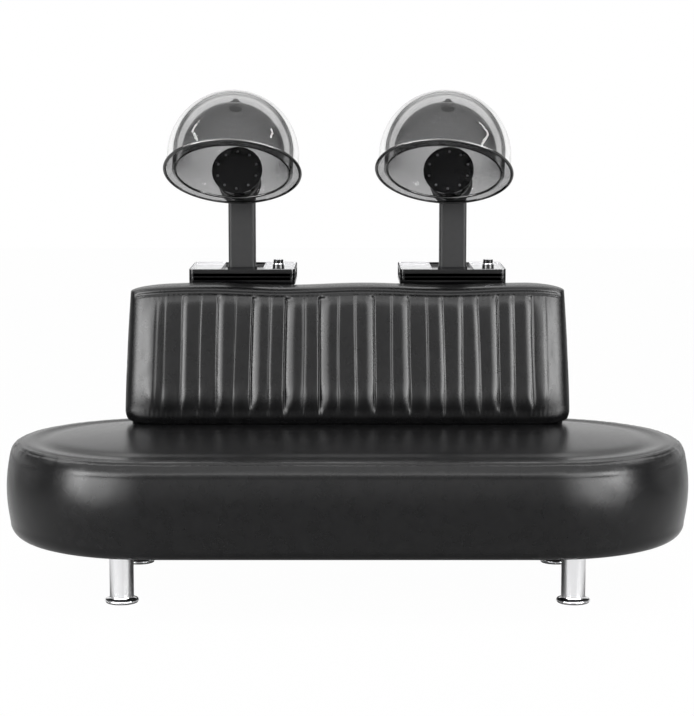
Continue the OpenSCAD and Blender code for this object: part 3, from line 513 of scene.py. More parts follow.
def seatTopAt(r):
    # height of the seat's top over the seat's underside, r from its middle line
    top = seatTall - seat["crown"] * (np.clip(r, 0, seatFlat) / seatFlat) ** 2
    for key, sign in (("trough", -1), ("edgeRise", 1)):
        place, wide, tall = seat[key]
        top = top + sign * tall * np.exp(-((r - place) / wide) ** 2)
    return top


def seatProfile(steps):
    high = seatTall - seat["crown"] - seat["topRound"]
    low = seat["bottomRound"]
    profile = []
    for i in range(steps[0]):
        share = i / steps[0]
        r = max(seat["spineGap"], seatFlat * (1 - (1 - share) ** seat["ringCrowding"]))
        profile.append((r, float(seatTopAt(r))))
    lift = float(seatTopAt(seatFlat)) - seatTall + seat["crown"]
    for i in range(steps[1] + 1):
        a = math.pi / 2 * (1 - i / steps[1])
        tall = seat["topRound"] * math.sin(a) + lift * math.sin(a) ** 4
        profile.append((seatFlat + seat["topRound"] * math.cos(a), high + tall))
    for i in range(1, steps[2]):
        z = high + (low - high) * i / steps[2]
        swell = seat["bulge"] * (1 - ((z - (high + low) / 2) / ((high - low) / 2)) ** 2)
        profile.append((seatSide + swell, z))
    for i in range(steps[3] + 1):
        a = -math.pi / 2 * i / steps[3]
        profile.append((seatSide - low + low * math.cos(a), low + low * math.sin(a)))
    profile.append((seatSide - seat["hem"], 0.0))
    return profile


def seatGrid(profile, columns):
    straight, turn = columns // 4, columns // 4
    spine, outward = [], []
    for i in range(straight):
        spine.append(-seatHalf + 2 * seatHalf * i / straight)
        outward.append(-math.pi / 2)
    for i in range(turn):
        spine.append(seatHalf)
        outward.append(-math.pi / 2 + math.pi * i / turn)
    for i in range(straight):
        spine.append(seatHalf - 2 * seatHalf * i / straight)
        outward.append(math.pi / 2)
    for i in range(turn):
        spine.append(-seatHalf)
        outward.append(math.pi / 2 + math.pi * i / turn)
    spine, outward = np.array(spine), np.array(outward)
    grid = np.empty((len(profile), len(spine), 3))
    for row, (r, z) in enumerate(profile):
        grid[row, :, 0] = spine + r * np.cos(outward)
        grid[row, :, 1] = seatMiddle.y + r * np.sin(outward)
        grid[row, :, 2] = seatBox[0].z + z
    walked = np.concatenate([[0], np.cumsum(np.hypot(*np.diff(grid[-2, :, :2], axis=0).T))])
    return grid, walked


def closeSpine(skin):
    # the long face along the middle line goes, and its two sides are merged
    workOn(skin)
    bpy.ops.object.mode_set(mode="EDIT")
    bpy.ops.mesh.select_mode(type="FACE")
    bpy.ops.mesh.select_all(action="DESELECT")
    bpy.ops.object.mode_set(mode="OBJECT")
    for face in skin.data.polygons:
        face.select = len(face.vertices) > 4 and face.center.z > seatMiddle.z
    bpy.ops.object.mode_set(mode="EDIT")
    bpy.ops.mesh.delete(type="ONLY_FACE")
    bpy.ops.mesh.select_mode(type="VERT")
    closeUp()


def makeSeat():
    fine = seatProfile(seat["fineSteps"])
    grid, walked = seatGrid(fine, seat["columns"])
    skin = skinFrom("seatCushion", grid)
    capEnds(skin)
    swell = np.zeros(grid.shape[:2])
    rough, _ = seatGrid(seatProfile(seat["roughSteps"]), seat["roughColumns"])
    middle = np.array([0, seatMiddle.y, (seatBox[0].z + seatBox[1].z) / 2])
    shrink = 1 - seat["cap"] * 0.7 / np.array([0.9, 0.4, seatTall / 2])
    form = skinFrom("seatForm", middle + (rough - middle) * shrink)
    capEnds(form)
    puffUp(form, seat["voxel"], seat["pressure"], seat["cap"])
    swell = swellOf(skin, form, grid.shape[:2], seat["swell"], seat["blurs"])
    radius = np.array([r for r, z in fine])[:, None]
    tall = np.array([z for r, z in fine])[:, None]
    swell = swell * ease((tall - 0.02) / 0.06)
    high = seatTall - seat["crown"] - seat["topRound"]
    turned = math.radians(seat["seamAngle"])
    seamR = seatFlat + seat["topRound"] * math.cos(turned)
    seamZ = high + seat["topRound"] * math.sin(turned)
    away = np.hypot(radius - seamR, tall - seamZ)
    groove = -seat["seamDepth"] * np.exp(-(away / seat["seamWidth"]) ** 2)
    lipPlace, lipWide, lipTall = seat["seamLip"]
    lip = lipTall * np.exp(-((away - lipPlace) / lipWide) ** 2)
    along = walked[None, :]
    lap = walked[-1] + (walked[-1] - walked[-2])
    gather = np.zeros_like(along)
    draw = np.random.default_rng(4)
    for count in seat["puckers"]:
        gather = gather + np.sin(2 * math.pi * count * along / lap + draw.uniform(0, 6.28)) / 2.2
    busy = 0.5 + 0.5 * np.sin(2 * math.pi * 9 * along / lap + 1.3) * np.sin(2 * math.pi * 5 * along / lap)
    reach = np.where(radius > seamR, seat["puckerReach"][1], seat["puckerReach"][0])
    pucker = seat["puckerDepth"] * gather * (0.35 + 0.65 * busy) * np.exp(-(away / reach) ** 2)
    x, y = grid[:, :, 0], grid[:, :, 1]
    slackDepth, slackPitch = seat["slack"]
    slack = slackDepth * ripple(x, y + grid[:, :, 2], 5, scale=slackPitch) * ease((radius - 0.02) / 0.1)
    shift = (swell + groove + lip + pucker + slack) * ease((tall - 0.012) / 0.03)
    shift[0] = shift[0].mean()
    out = vertexNormals(skin)
    moved = coordinates(skin) + out * shift.reshape(-1, 1)
    spine = moved[:seat["columns"]]
    spine[:, 0] = np.clip(spine[:, 0], -seatHalf, seatHalf)
    spine[:, 1:] = (seatMiddle.y, spine[:, 2].mean())
    setCoordinates(skin, moved)
    closeSpine(skin)
    finishPiece(skin, "bench", "black_leather", replaced=("seat_cover", "seat_foam"))


makeSeat()
print("seat made")


# Back cushion: upright channels between plain bands, rolled ends, standing on the seat
back = {
    # place across, side the wide flank lies on (1 right, -1 left, 0 none), its reach in mm, depth in mm
    "seams": [(0.0665, 0, 4.5, 1.0), (0.0834, 0, 5, 1.7), (0.1255, 1, 15, 4.4), (0.1665, 0, 4.5, 1.4),
        (0.2060, 1, 20, 6.0), (0.2440, 0, 4.5, 1.0), (0.2830, 1, 29, 8.6), (0.3245, 0, 7, 1.7), (0.3585, 1, 32, 9.4),
        (0.4010, 0, 9, 1.9), (0.4360, 1, 35, 10.2), (0.4800, 0, 4.5, 1.4), (0.5186, 0, 4.5, 2.0),
        (0.5600, -1, 25, 7.0), (0.6010, 0, 4.5, 1.4), (0.6400, -1, 22, 6.3), (0.6800, 0, 4.5, 1.5),
        (0.7168, -1, 13, 3.9), (0.7589, -1, 13, 3.9), (0.7965, -1, 14, 4.1), (0.8398, -1, 22, 6.4),
        (0.8762, -1, 14, 4.1), (0.9195, -1, 21, 6.1), (0.9492, 0, 4.5, 1.4)],
    "steepSide": 0.0032,
    "fall": 1.9,
    "sunken": (0.45, 0.35),              # shares of depth and reach kept at a seam's foot
    "taper": 0.055,
    "bend": 0.0014,
    "lowBand": 0.026,
    "topBand": 0.021,
    "channels": 25,
    "channelRise": 0.0006,
    "humps": (0.072, 0.030, 0.0022),     # height, spread, rise
    "pucker": (0.0125, 0.0083, 0.0005),  # two pitches, depth
    "slack": (0.0006, 0.10),             # depth, pitch
    "topGroove": (0.0185, 0.0125, 0.0035, 0.0055),   # below the top, reach above, reach below, depth
    "lean": 7.0,
    "thickness": 0.112,
    "footWidth": 1.216,
    "topWidth": 1.186,
    "rollWide": 0.108,
    "rollDeep": 0.042,
    "rollDrop": 0.4,
    "endBulge": 0.0035,
    "endShare": 0.94,
    "endSteps": 7,
    "topWave": (0.0025, 0.0030, 8.5),    # lift, swing, swings across
    "perChannel": 16,
    "rollSteps": 48,
    "outlinePoints": 132,
    "roughPoints": 72,
    "roughChannel": 5,
    "clear": 0.0004,
    "voxel": 0.008,
    "pressure": 4,
    "cap": 0.006,
    "swell": 0.0016,
    "blurs": 5,
    "filled": 0.8,
}
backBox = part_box("back_cushion")
backTall = backBox[1].z - seatBox[1].z
backLean = math.tan(math.radians(back["lean"]))
backFoot = backBox[1].y - back["thickness"] - backTall * backLean


def backOutline(points):
    # depth and height round the section, from the back of the foot, over the front, to the top
    t, h = back["thickness"], backTall
    soft = [(t, 0.0), (0.022, 0.0), (0.006, 0.010), (-0.003, 0.030), (-0.008, 0.080), (-0.006, 0.190),
        (-0.004, 0.290), (0.000, h - 0.022), (0.007, h - 0.006), (0.024, h), (t - 0.028, h), (t - 0.006, h - 0.006),
        (t, h - 0.03), (t, h * 0.5)]
    smooth = []
    count = len(soft)
    for k in range(count):
        p0, p1, p2, p3 = (np.array(soft[(k + d) % count]) for d in (-1, 0, 1, 2))
        straight = k in (0, 12, 13)
        for i in range(16):
            s = i / 16
            if straight:
                smooth.append(p1 + (p2 - p1) * s)
            else:
                smooth.append(0.5 * (2 * p1 + (p2 - p0) * s + (2 * p0 - 5 * p1 + 4 * p2 - p3) * s * s
                    + (3 * p1 - p0 - 3 * p2 + p3) * s ** 3))
    smooth = np.array(smooth)
    step = np.linalg.norm(np.roll(smooth, -1, axis=0) - smooth, axis=1)
    walked = np.concatenate([[0], np.cumsum(step)])
    closed = np.vstack([smooth, smooth[:1]])
    ahead = smooth[:, 0] < t * 0.45
    weight = np.where(ahead, 1.0, 0.4)
    stations = np.concatenate([[0], np.cumsum(step * weight)])
    places = np.interp(np.linspace(0, stations[-1], points, endpoint=False), stations, walked)
    return np.stack([np.interp(places, walked, closed[:, k]) for k in (0, 1)], axis=1)


def backStations(perChannel, rollSteps):
    # (place across from -1 to 1, how deep the end roll has turned in)
    roll = back["rollWide"] * 2 / back["footWidth"]
    marks = [-1 + roll] + [s[0] * 2 - 1 for s in back["seams"] if abs(s[0] * 2 - 1) < 1 - roll - 0.01] + [1 - roll]
    inner = []
    for a, b in zip(marks, marks[1:]):
        steps = max(4, round(perChannel * (b - a) * 12.5))
        for i in range(steps):
            share = i / steps
            inner.append((a + (b - a) * (0.4 * share + 0.6 * (0.5 - 0.5 * math.cos(math.pi * share))), 0.0))
    inner.append((1 - roll, 0.0))
    left = []
    for i in range(rollSteps):
        a = math.pi / 2 * i / rollSteps
        left.append((-1 + roll * (1 - math.cos(a)), back["rollDeep"] * (1 - math.sin(a))))
    rest = (back["thickness"] / 2 - back["rollDeep"]) * back["endShare"]
    cap = []
    for k in range(back["endSteps"], 0, -1):
        share = k / back["endSteps"]
        cap.append((-1 - back["endBulge"] * math.sin(math.pi / 2 * share), back["rollDeep"] + rest * share))
    ends = cap + left
    return ends + inner + [(-across, deep) for across, deep in reversed(ends)]


def backGrid(outline, stations):
    t, h = back["thickness"], backTall
    middle = np.array([t / 2, h / 2])
    rows = []
    for across, deep in stations:
        rolled = min(deep, back["rollDeep"])
        further = (deep - rolled) / (t / 2 - back["rollDeep"])
        drop = rolled * back["rollDrop"]
        shrink = 1 - np.array([deep / (t / 2), drop / (h / 2) + further * (1 - drop / (h / 2)) * back["endShare"]])
        shape = middle + (outline - middle) * shrink
        depth, height = shape[:, 0], shape[:, 1]
        wide = back["footWidth"] + (back["topWidth"] - back["footWidth"]) * height / h
        corner = ease(1 - height / 0.036)
        x = across * (wide / 2 - 0.010 * corner * ease((abs(across) - 0.9) / 0.1))
        y = backFoot + depth + height * backLean
        fromSpine = np.hypot(np.maximum(np.abs(x) - seatHalf, 0), y - seatMiddle.y)
        foot = seatBox[0].z + seatTopAt(fromSpine) + back["clear"]
        lift, swing, swings = back["topWave"]
        wave = (lift + swing * np.sin(across * swings + 0.9)) * ease((height / h - 0.7) / 0.3)
        z = seatBox[1].z + height + wave
        z += (foot - seatBox[1].z) * (1 - ease(height / 0.05))
        rows.append(np.stack([x, y, z], axis=1))
    return np.array(rows)


def sewBack(outline, stations):
    # how far each point of the skin is drawn in or stands out
    across = np.array([s[0] for s in stations])[:, None]
    height = outline[:, 1][None, :]
    wide = back["footWidth"] + (back["topWidth"] - back["footWidth"]) * height / backTall
    x = (across + 0 * height) * wide / 2
    front = ease((back["thickness"] * 0.42 - outline[:, 0]) / 0.03)[None, :]
    high = backTall - back["topBand"]
    shift = np.zeros(x.shape)
    draw = np.random.default_rng(11)
    deepKept, reachKept = back["sunken"]
    for place, side, reach, depth in back["seams"]:
        bend = back["bend"] * np.sin(height * (9 + 3 * draw.uniform()) + draw.uniform(0, 6))
        seamX = (place * 2 - 1) * wide / 2 + bend
        gap = x - seamX
        low = back["lowBand"] + draw.uniform(-0.3, 1) * 0.008
        taper = ease((height - low + 0.004) / back["taper"])
        right = max(back["steepSide"], reach / 1000) if side >= 0 else back["steepSide"]
        left = max(back["steepSide"], reach / 1000) if side <= 0 else back["steepSide"]
        span = np.where(gap > 0, right, left) * (reachKept + (1 - reachKept) * taper)
        t = np.clip(np.abs(gap) / span, 0, 1)
        sewn = ease((height - low) / 0.020) * ease((high - height) / 0.012)
        shift -= depth / 1000 * (deepKept + (1 - deepKept) * taper) * (1 - t) ** back["fall"] * sewn
    drop, above, below, depth = back["topGroove"]
    away = height - (backTall - drop)
    nearby = np.clip(1 - np.where(away > 0, away / above, -away / below), 0, 1)
    shift -= depth * nearby ** 1.3 * ease((0.985 - np.abs(across)) / 0.03)
    channel = (across * 0.5 + 0.5) * back["channels"]
    inside = channel - np.floor(channel)
    edge = ease((0.93 - np.abs(across)) / 0.05)
    full = ease((height - back["lowBand"]) / 0.03) * ease((high - height) / 0.02) * edge
    humpPlace, humpWide, humpTall = back["humps"]
    humps = np.exp(-((height - humpPlace) / humpWide) ** 2)
    shift = shift + (back["channelRise"] + humpTall * humps) * np.sin(math.pi * inside) * full
    coarse, fine, puckerDepth = back["pucker"]
    gather = np.sin(x * 2 * math.pi / coarse + 3 * np.sin(x * 21)) + 0.6 * np.sin(x * 2 * math.pi / fine + 1.1)
    nearBand = np.exp(-((height - back["lowBand"] - 0.006) / 0.010) ** 2)
    nearBand = nearBand + np.exp(-((height - high + 0.006) / 0.007) ** 2)
    shift += puckerDepth * gather * nearBand * edge
    slackDepth, slackPitch = back["slack"]
    shift += slackDepth * ripple(x, height + 0 * x, 8, scale=slackPitch) * ease((height - 0.02) / 0.04)
    return shift * front


def makeBack():
    outline = backOutline(back["outlinePoints"])
    stations = backStations(back["perChannel"], back["rollSteps"])
    grid = backGrid(outline, stations)
    skin = skinFrom("backCushion", grid)
    capEnds(skin)
    swell = np.zeros(grid.shape[:2])
    rough = backGrid(backOutline(back["roughPoints"]), backStations(back["roughChannel"], back["endSteps"]))
    middle = (rough.reshape(-1, 3).min(axis=0) + rough.reshape(-1, 3).max(axis=0)) / 2
    shrink = 1 - back["cap"] * 0.5 / np.array([0.6, 0.078, 0.185])
    form = skinFrom("backForm", middle + (rough - middle) * shrink)
    capEnds(form)
    puffUp(form, back["voxel"], back["pressure"], back["cap"])
    swell = swellOf(skin, form, grid.shape[:2], back["swell"], back["blurs"])
    ahead = ease((back["thickness"] * 0.6 - outline[:, 0]) / 0.04)[None, :]
    swell = swell * ahead * ease((outline[:, 1] - 0.015) / 0.03)[None, :]
    shift = swell + sewBack(outline, stations)
    out = vertexNormals(skin)
    setCoordinates(skin, coordinates(skin) + out * shift.reshape(-1, 1))
    finishPiece(skin, "bench", "black_leather", replaced=("back_cushion",))


makeBack()
print("back cushion made")


# Hoods: each wall is turned round its axis, then the blower's hole and the air holes are cut
hood = {
    "tilt": -29.4,
    "pin": (0.0, 0.239415, 0.07474),     # the tilt pin in the hood's own frame
    "outerR": 0.176, "outerC": 0.050, "outerWall": 0.003, "outerFlare": 0.003,
    "middleR": 0.1598, "middleC": 0.0628, "middleWall": 0.0045,
    "innerR": 0.137, "innerC": 0.058, "innerWall": 0.0025, "innerFlare": 0.017,
    "ringIn": 0.1515, "ringOut": 0.180, "ringTall": 0.007, "ringRound": 0.0012, "ringClear": 0.0002,
    "outerBead": 0.0042, "innerBead": 0.0024, "beadSides": 28,
    "blowerRise": 4.0,
    "blowerHole": 0.0594, "blowerSides": 96,
    "outerCut": (0.13, 0.24), "middleCut": (0.12, 0.24), "innerCut": (0.10, 0.20),   # reach of each cut
    "airRings": (10, 18.5, 27, 35.5), "airPitch": 0.017, "airHole": 0.0025, "airDeep": 0.012, "airSides": 12,
    "steps": 168, "degrees": 2, "skirtSteps": 12,
}
sides = ("left", "right")
hoodAt = {}
for side in sides:
    joint = joints[side + "_hood_tilt"]
    turn = math.atan2(joint["axis"][1], joint["axis"][0])
    aim = Matrix.Rotation(turn, 4, "Z") @ Matrix.Rotation(math.radians(hood["tilt"]), 4, "X")
    hoodAt[side] = Matrix.Translation(Vector(joint["pos_m"]) - aim @ Vector(hood["pin"])) @ aim
blowerAim = Matrix.Rotation(math.radians(hood["blowerRise"] - 90), 4, "X")


def wallLine(radius, centre, flare, foot):
    # from the crown down to the rim
    line = [(0.0, centre + radius)]
    for a in range(hood["degrees"], 91, hood["degrees"]):
        angle = math.radians(90 - a)
        line.append((radius * math.cos(angle), centre + radius * math.sin(angle)))
    for i in range(1, hood["skirtSteps"] + 1):
        share = 1 - i / hood["skirtSteps"]
        line.append((radius + flare * (1 - share) ** 2, foot + (centre - foot) * share))
    return line


def domeWall(name, radius, centre, wall, flare):
    foot = hood["ringTall"] + hood["ringClear"]
    outside = wallLine(radius, centre, flare, foot)
    inside = wallLine(radius - wall, centre, flare, foot)
    return lathe(name, outside + inside[::-1], hood["steps"])


def blowerCutter(reach):
    cutter = cylinder("blowerCutter", hood["blowerHole"], reach[1] - reach[0], (0, 0, 0), hood["blowerSides"])
    middle = Matrix.Translation((0, 0, (reach[0] + reach[1]) / 2))
    cutter.matrix_world = Matrix.Translation((0, 0, hood["innerC"])) @ blowerAim @ middle
    workOn(cutter)
    bpy.ops.object.transform_apply(location=True, rotation=True, scale=True)
    return cutter


def airCutters():
    pegs = []
    for ring, polar in enumerate(hood["airRings"]):
        lean = math.radians(polar)
        count = int(2 * math.pi * hood["innerR"] * math.sin(lean) / hood["airPitch"])
        for k in range(count):
            turn = 2 * math.pi * (k + ring / 2) / count
            outward = Vector((math.sin(lean) * math.cos(turn), math.sin(lean) * math.sin(turn), math.cos(lean)))
            place = Vector((0, 0, hood["innerC"])) + outward * (hood["innerR"] - 0.001)
            aim = outward.to_track_quat("Z", "Y").to_euler()
            pegs.append(cylinder("peg", hood["airHole"], hood["airDeep"], place, hood["airSides"], aim))
    return joinPieces(pegs, "airCutters")


def placeHood(piece, name, slot, angle, replaced=(), finish=None):
    # one copy for each dryer, set at that hood's own place
    for side in sides:
        copy = twin(piece, name + side.capitalize())
        copy.matrix_world = hoodAt[side]
        finishPiece(copy, side + "_hood", slot, angle, tuple(side + "_" + node for node in replaced))
        if finish:
            copy.data.materials.clear()
            copy.data.materials.append(finish)
    bpy.data.objects.remove(piece)


outerWall = domeWall("outerWall", hood["outerR"], hood["outerC"], hood["outerWall"], hood["outerFlare"])
cutAway(outerWall, blowerCutter(hood["outerCut"]))
placeHood(outerWall, "outerDome", "clear_smoke", 40, ("outer_hood",))
middleWall = domeWall("middleWall", hood["middleR"], hood["middleC"], hood["middleWall"], 0.0)
cutAway(middleWall, blowerCutter(hood["middleCut"]))
placeHood(middleWall, "middleDome", "clear_smoke", 40, ("outer_hood",), middleSmoke)
innerWall = domeWall("innerWall", hood["innerR"], hood["innerC"], hood["innerWall"], hood["innerFlare"])
cutAway(innerWall, blowerCutter(hood["innerCut"]))
cutAway(innerWall, airCutters())
placeHood(innerWall, "innerDome", "dark_smoke", 40, ("inner_hood",))
print("domes made")


def bead(ringR, thick):
    section = arcPoints((ringR, hood["ringTall"] / 2), thick, 0, 360, hood["beadSides"])[:-1]
    return lathe("bead", section + [section[0]], hood["steps"])


def rimRing():
    a, b, tall, edge = (hood[key] for key in ("ringIn", "ringOut", "ringTall", "ringRound"))
    corners = [(a, edge), (a + edge, 0), (b - edge, 0), (b, edge), (b, tall - edge), (b - edge, tall),
        (a + edge, tall), (a, tall - edge), (a, edge)]
    return lathe("rimRing", corners, hood["steps"])


placeHood(rimRing(), "rimRing", "rim_smoke", 30, ("rim_ring",))
beads = [bead(hood["ringOut"], hood["outerBead"]), bead(hood["ringIn"], hood["innerBead"])]
edging = joinPieces(beads, "edging")
placeHood(edging, "rimEdging", "rubber_black", 60, ("rim_edging",))
print("rims made")


# Legs: chromed tube spun with its flared foot
leg = {
    "tube": 0.0308,
    "foot": 0.0435,
    "glide": 0.003,
    "flare": 0.006,
    "flareSteps": 12,
    "lip": 0.0062,
    "lipRound": 0.003,
    "edge": 0.0016,
    "buried": 0.002,
    "steps": 96,
}


def legShape():
    tall = seatBox[0].z + leg["buried"]
    line = [(0, tall), (leg["tube"], tall)]
    low = leg["glide"] + leg["lip"]
    line.append((leg["tube"], low + leg["flare"]))
    shoulder = leg["foot"] - leg["lipRound"]
    for i in range(1, leg["flareSteps"] + 1):
        share = i / leg["flareSteps"]
        wide = leg["tube"] + (leg["foot"] - leg["tube"] - leg["lipRound"]) * share ** 1.5
        line.append((wide, low + leg["flare"] * (1 - share) ** 2.2))
    line += arcPoints((shoulder, low - leg["lipRound"]), leg["lipRound"], 80, 0, 5)
    line.append((leg["foot"] - 0.0004, leg["glide"] + 0.0020))
    line += [(leg["foot"] - leg["edge"], leg["glide"]), (0, leg["glide"])]
    return lathe("legShape", line, leg["steps"])


legPiece = legShape()
for place in ("front_left", "front_right", "rear_left", "rear_right"):
    low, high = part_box(place + "_leg")
    first, second = place.split("_")
    copy = twin(legPiece, "leg" + first.capitalize() + second.capitalize())
    copy.location = ((low.x + high.x) / 2, (low.y + high.y) / 2, 0)
    finishPiece(copy, "bench", "chrome", 35, (place + "_leg",))
bpy.data.objects.remove(legPiece)
print("legs made")


# Control boxes: a cover of five bands, three of them proud, over a plain tray
bands = {"count": 5, "tall": 0.0052, "proud": 0.002, "lap": 0.0003, "corner": 0.014, "edge": 0.0017}
# each light panel keeps a rim of the cover free, and a strip beside the post's collar
panel = {"rim": 0.0026, "strip": 0.017, "corner": 0.009, "edge": 0.0003}


def plate(name, low, high, corner, edge):
    middle = [(a + b) / 2 for a, b in zip(low, high)]
    clearSelection()
    bpy.ops.mesh.primitive_cube_add(size=1, location=middle)
    piece = bpy.context.object
    piece.name = name
    piece.scale = [b - a for a, b in zip(low, high)]
    bpy.ops.object.transform_apply(location=True, rotation=True, scale=True)
    for line in piece.data.edges:
        a, b = (piece.data.vertices[v].co for v in line.vertices)
        line.select = abs(a.z - b.z) > 1e-5
    for point in piece.data.vertices:
        point.select = False
    bpy.ops.object.mode_set(mode="EDIT")
    bpy.ops.mesh.select_mode(type="EDGE")
    bpy.ops.mesh.bevel(offset=corner, segments=10, affect="EDGES")
    bpy.ops.mesh.select_mode(type="VERT")
    closeUp()
    roundEdges(piece, edge, 4, 50)
    return piece


for side in sides:
    low, high = (list(corner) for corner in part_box(side + "_box_cover"))
    plates = []
    for k in range(bands["count"]):
        inset = 0 if k % 2 == 0 else bands["proud"]
        bottom = high[2] - bands["tall"] * (bands["count"] - k)
        corners = ([low[0] + inset, low[1] + inset, bottom - bands["lap"]],
            [high[0] - inset, high[1] - inset, bottom + bands["tall"]])
        plates.append(plate("band", *corners, bands["corner"] - inset * 0.5, bands["edge"]))
    cover = joinPieces(plates, "boxCover" + side.capitalize())
    finishPiece(cover, "bench", "gloss_black", 30, (side + "_box_cover",))
    panelLow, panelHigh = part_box(side + "_box_panels")
    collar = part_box(side + "_post_collar")
    leftEnds = (low[0] + panel["rim"], collar[0].x - panel["strip"])
    rightEnds = (collar[1].x + panel["strip"], high[0] - panel["rim"])
    halves = []
    for left, right in (leftEnds, rightEnds):
        halves.append(plate("panel", [left, low[1] + panel["rim"], panelLow.z],
            [right, high[1] - panel["rim"], panelHigh.z], panel["corner"], panel["edge"]))
    panels = joinPieces(halves, "boxPanels" + side.capitalize())
    finishPiece(panels, "bench", "light_panel", 30, (side + "_box_panels",))
print("boxes made")


# Timer knobs: a skirt, a bright ring and a cap with a pale top
knob = {"skirt": 0.017, "cap": 0.0141, "skirtTall": 0.0175, "ringTall": 0.0205, "tall": 0.031, "steps": 72}
for side in sides:
    low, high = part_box(side + "_timer_knob")
    x, y, z = (low.x + high.x) / 2, (low.y + high.y) / 2, high.z - knob["tall"]
    line = [(0, 0), (knob["skirt"] - 0.0006, 0), (knob["skirt"], 0.0006),
        (knob["skirt"] - 0.0010, knob["skirtTall"] - 0.001), (knob["skirt"] - 0.0020, knob["skirtTall"]),
        (knob["cap"] - 0.0004, knob["skirtTall"] + 0.0001),
        (knob["cap"] - 0.0004, knob["tall"] - 0.0012), (knob["cap"] - 0.0014, knob["tall"]), (0, knob["tall"])]
    body = lathe("knob" + side.capitalize(), line, knob["steps"])
    body.location = (x, y, z)
    finishPiece(body, side + "_timer_knob", "gloss_black", 35, (side + "_timer_knob",))
    band = [(knob["cap"] - 0.002, knob["skirtTall"] + 0.0002), (knob["cap"] + 0.0006, knob["skirtTall"] + 0.0002),
        (knob["cap"] + 0.0009, knob["skirtTall"] + 0.0012), (knob["cap"] + 0.0006, knob["ringTall"]),
        (knob["cap"] - 0.002, knob["ringTall"]), (knob["cap"] - 0.002, knob["skirtTall"] + 0.0002)]
    ring = lathe("knobRing" + side.capitalize(), band, knob["steps"])
    ring.location = (x, y, z)
    finishPiece(ring, side + "_timer_knob", "zinc", 35)
    disc = cylinder("knobTop" + side.capitalize(), knob["cap"] - 0.002, 0.0006, (x, y, z + knob["tall"] + 0.0002), 64)
    roundEdges(disc, 0.0002, 2, 50)
    finishPiece(disc, side + "_timer_knob", "zinc", 20)
print("knobs made")


# Light: plain white seen behind, a room of bright and dark parts in reflections, soft boxes and strips
light = {
    "diffuse": 0.42,
    "front": 1.5,
    "panel": 12.5,
    "side": 0.30,
    "horizon": 0.95,
    "dip": 0.15,
    "ceiling": 3.0,
    # where one brightness gives way to the next: by depth, from -1 in front to 1 behind, or by height
    "panelStarts": (-0.93, -0.84),
    "panelTop": (0.52, 0.64),
    "sideStarts": (-0.48, -0.30),
    "dipStarts": (0.29, 0.36),
    "backStarts": (0.0, 0.35),
    "ceilingStarts": (0.44, 0.62),
    "sideSize": (0.7, 0.9),
    "sidePower": 32,
    "sidePlace": (2.75, -1.75, 0.95),
    "sideAim": (0, 0, 0.7),
    "topSize": (2.6, 1.4),
    "topPower": 34,
    "topPlace": (0.0, -0.2, 3.2),
    "topAim": (0, 0, 0.5),
    "stripSize": (0.12, 1.0),
    "stripPower": 12,
    "stripPlace": (1.95, -0.05, 2.15),
    "stripAim": (0, 0, 1.1),
    "floorGlow": 0.984,
}


def softBox(name, place, aim, size, power, mirrored=True):
    data = bpy.data.lights.new(name, "AREA")
    data.shape = "RECTANGLE"
    data.size, data.size_y = size
    data.energy = power
    lamp = bpy.data.objects.new(name, data)
    scene.collection.objects.link(lamp)
    lamp.location = place
    lamp.rotation_euler = (Vector(aim) - Vector(place)).to_track_quat("-Z", "Y").to_euler()
    lamp.visible_glossy = mirrored
    lamp.visible_transmission = False


def mathNode(tree, operation, first, second):
    node = tree.nodes.new("ShaderNodeMath")
    node.operation = operation
    for socket, value in zip(node.inputs, (first, second)):
        if isinstance(value, (int, float)):
            socket.default_value = value
        else:
            tree.links.new(value, socket)
    return node.outputs["Value"]


def floatMix(tree, factor, first, second):
    mix = tree.nodes.new("ShaderNodeMix")
    for key, value in (("Factor", factor), ("A", first), ("B", second)):
        if isinstance(value, (int, float)):
            mix.inputs[key].default_value = value
        else:
            tree.links.new(value, mix.inputs[key])
    return mix.outputs["Result"]


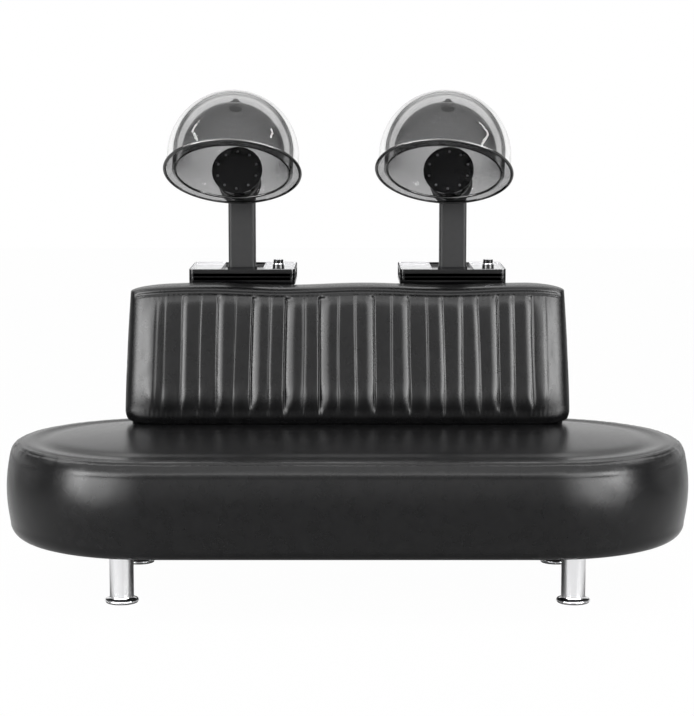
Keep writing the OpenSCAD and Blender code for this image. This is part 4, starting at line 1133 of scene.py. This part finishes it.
def lightStudio():
    x, y, z = light["sidePlace"]
    softBox("softBoxLeft", (-x, y, z), light["sideAim"], light["sideSize"], light["sidePower"])
    softBox("softBoxRight", (x, y, z), light["sideAim"], light["sideSize"], light["sidePower"])
    softBox("softBoxTop", light["topPlace"], light["topAim"], light["topSize"], light["topPower"], False)
    x, y, z = light["stripPlace"]
    softBox("stripLeft", (-x, y, z), light["stripAim"], light["stripSize"], light["stripPower"])
    softBox("stripRight", (x, y, z), light["stripAim"], light["stripSize"], light["stripPower"])
    world = bpy.data.worlds.new("studioWorld")
    world.use_nodes = True
    scene.world = world
    tree = world.node_tree
    place = tree.nodes.new("ShaderNodeTexCoord")
    split = tree.nodes.new("ShaderNodeSeparateXYZ")
    tree.links.new(place.outputs["Generated"], split.inputs["Vector"])
    towards, up = split.outputs["Y"], split.outputs["Z"]
    panels = floatMix(tree, spread(tree, towards, 0, 1, *light["panelStarts"]), light["front"], light["panel"])
    panels = floatMix(tree, spread(tree, up, 0, 1, *light["panelTop"]), panels, light["front"])
    sideways = floatMix(tree, spread(tree, towards, 0, 1, *light["sideStarts"]), panels, light["side"])
    behind = floatMix(tree, spread(tree, up, 0, 1, *light["dipStarts"]), light["horizon"], light["dip"])
    walls = floatMix(tree, spread(tree, towards, 0, 1, *light["backStarts"]), sideways, behind)
    room = floatMix(tree, spread(tree, up, 0, 1, *light["ceilingStarts"]), walls, light["ceiling"])
    path = tree.nodes.new("ShaderNodeLightPath")
    plain = floatMix(tree, path.outputs["Is Glossy Ray"], light["diffuse"], room)
    seen = mathNode(tree, "MAXIMUM", path.outputs["Is Camera Ray"], path.outputs["Is Transmission Ray"])
    final = floatMix(tree, seen, plain, 1.0)
    ground = tree.nodes["Background"]
    ground.inputs["Color"].default_value = (1, 1, 1, 1)
    tree.links.new(final, ground.inputs["Strength"])


def layFloor():
    clearSelection()
    bpy.ops.mesh.primitive_plane_add(size=24, location=(0, 0, 0))
    floor = bpy.context.object
    floor.name = "paleFloor"
    finish, tree, shader = newFinish("paleFloor", (0.88, 0.88, 0.88), 0.75, specular=0.05)
    cloud = noiseAt(tree, objectPlace(tree), 0.8, 2)
    tree.links.new(blendColours(tree, cloud, (0.89, 0.89, 0.89), (0.87, 0.87, 0.87)), shader.inputs["Base Color"])
    glow = tree.nodes.new("ShaderNodeEmission")
    glow.inputs["Color"].default_value = (1, 1, 1, 1)
    path = tree.nodes.new("ShaderNodeLightPath")
    seen = mathNode(tree, "MAXIMUM", path.outputs["Is Camera Ray"], path.outputs["Is Transmission Ray"])
    share = mathNode(tree, "MULTIPLY", seen, light["floorGlow"])
    mix = tree.nodes.new("ShaderNodeMixShader")
    tree.links.new(share, mix.inputs["Fac"])
    tree.links.new(shader.outputs["BSDF"], mix.inputs[1])
    tree.links.new(glow.outputs["Emission"], mix.inputs[2])
    tree.links.new(mix.outputs["Shader"], tree.nodes["Material Output"].inputs["Surface"])
    floor.data.materials.append(finish)


lightStudio()
layFloor()
scene.view_settings.view_transform = "Standard"
print("studio lit")
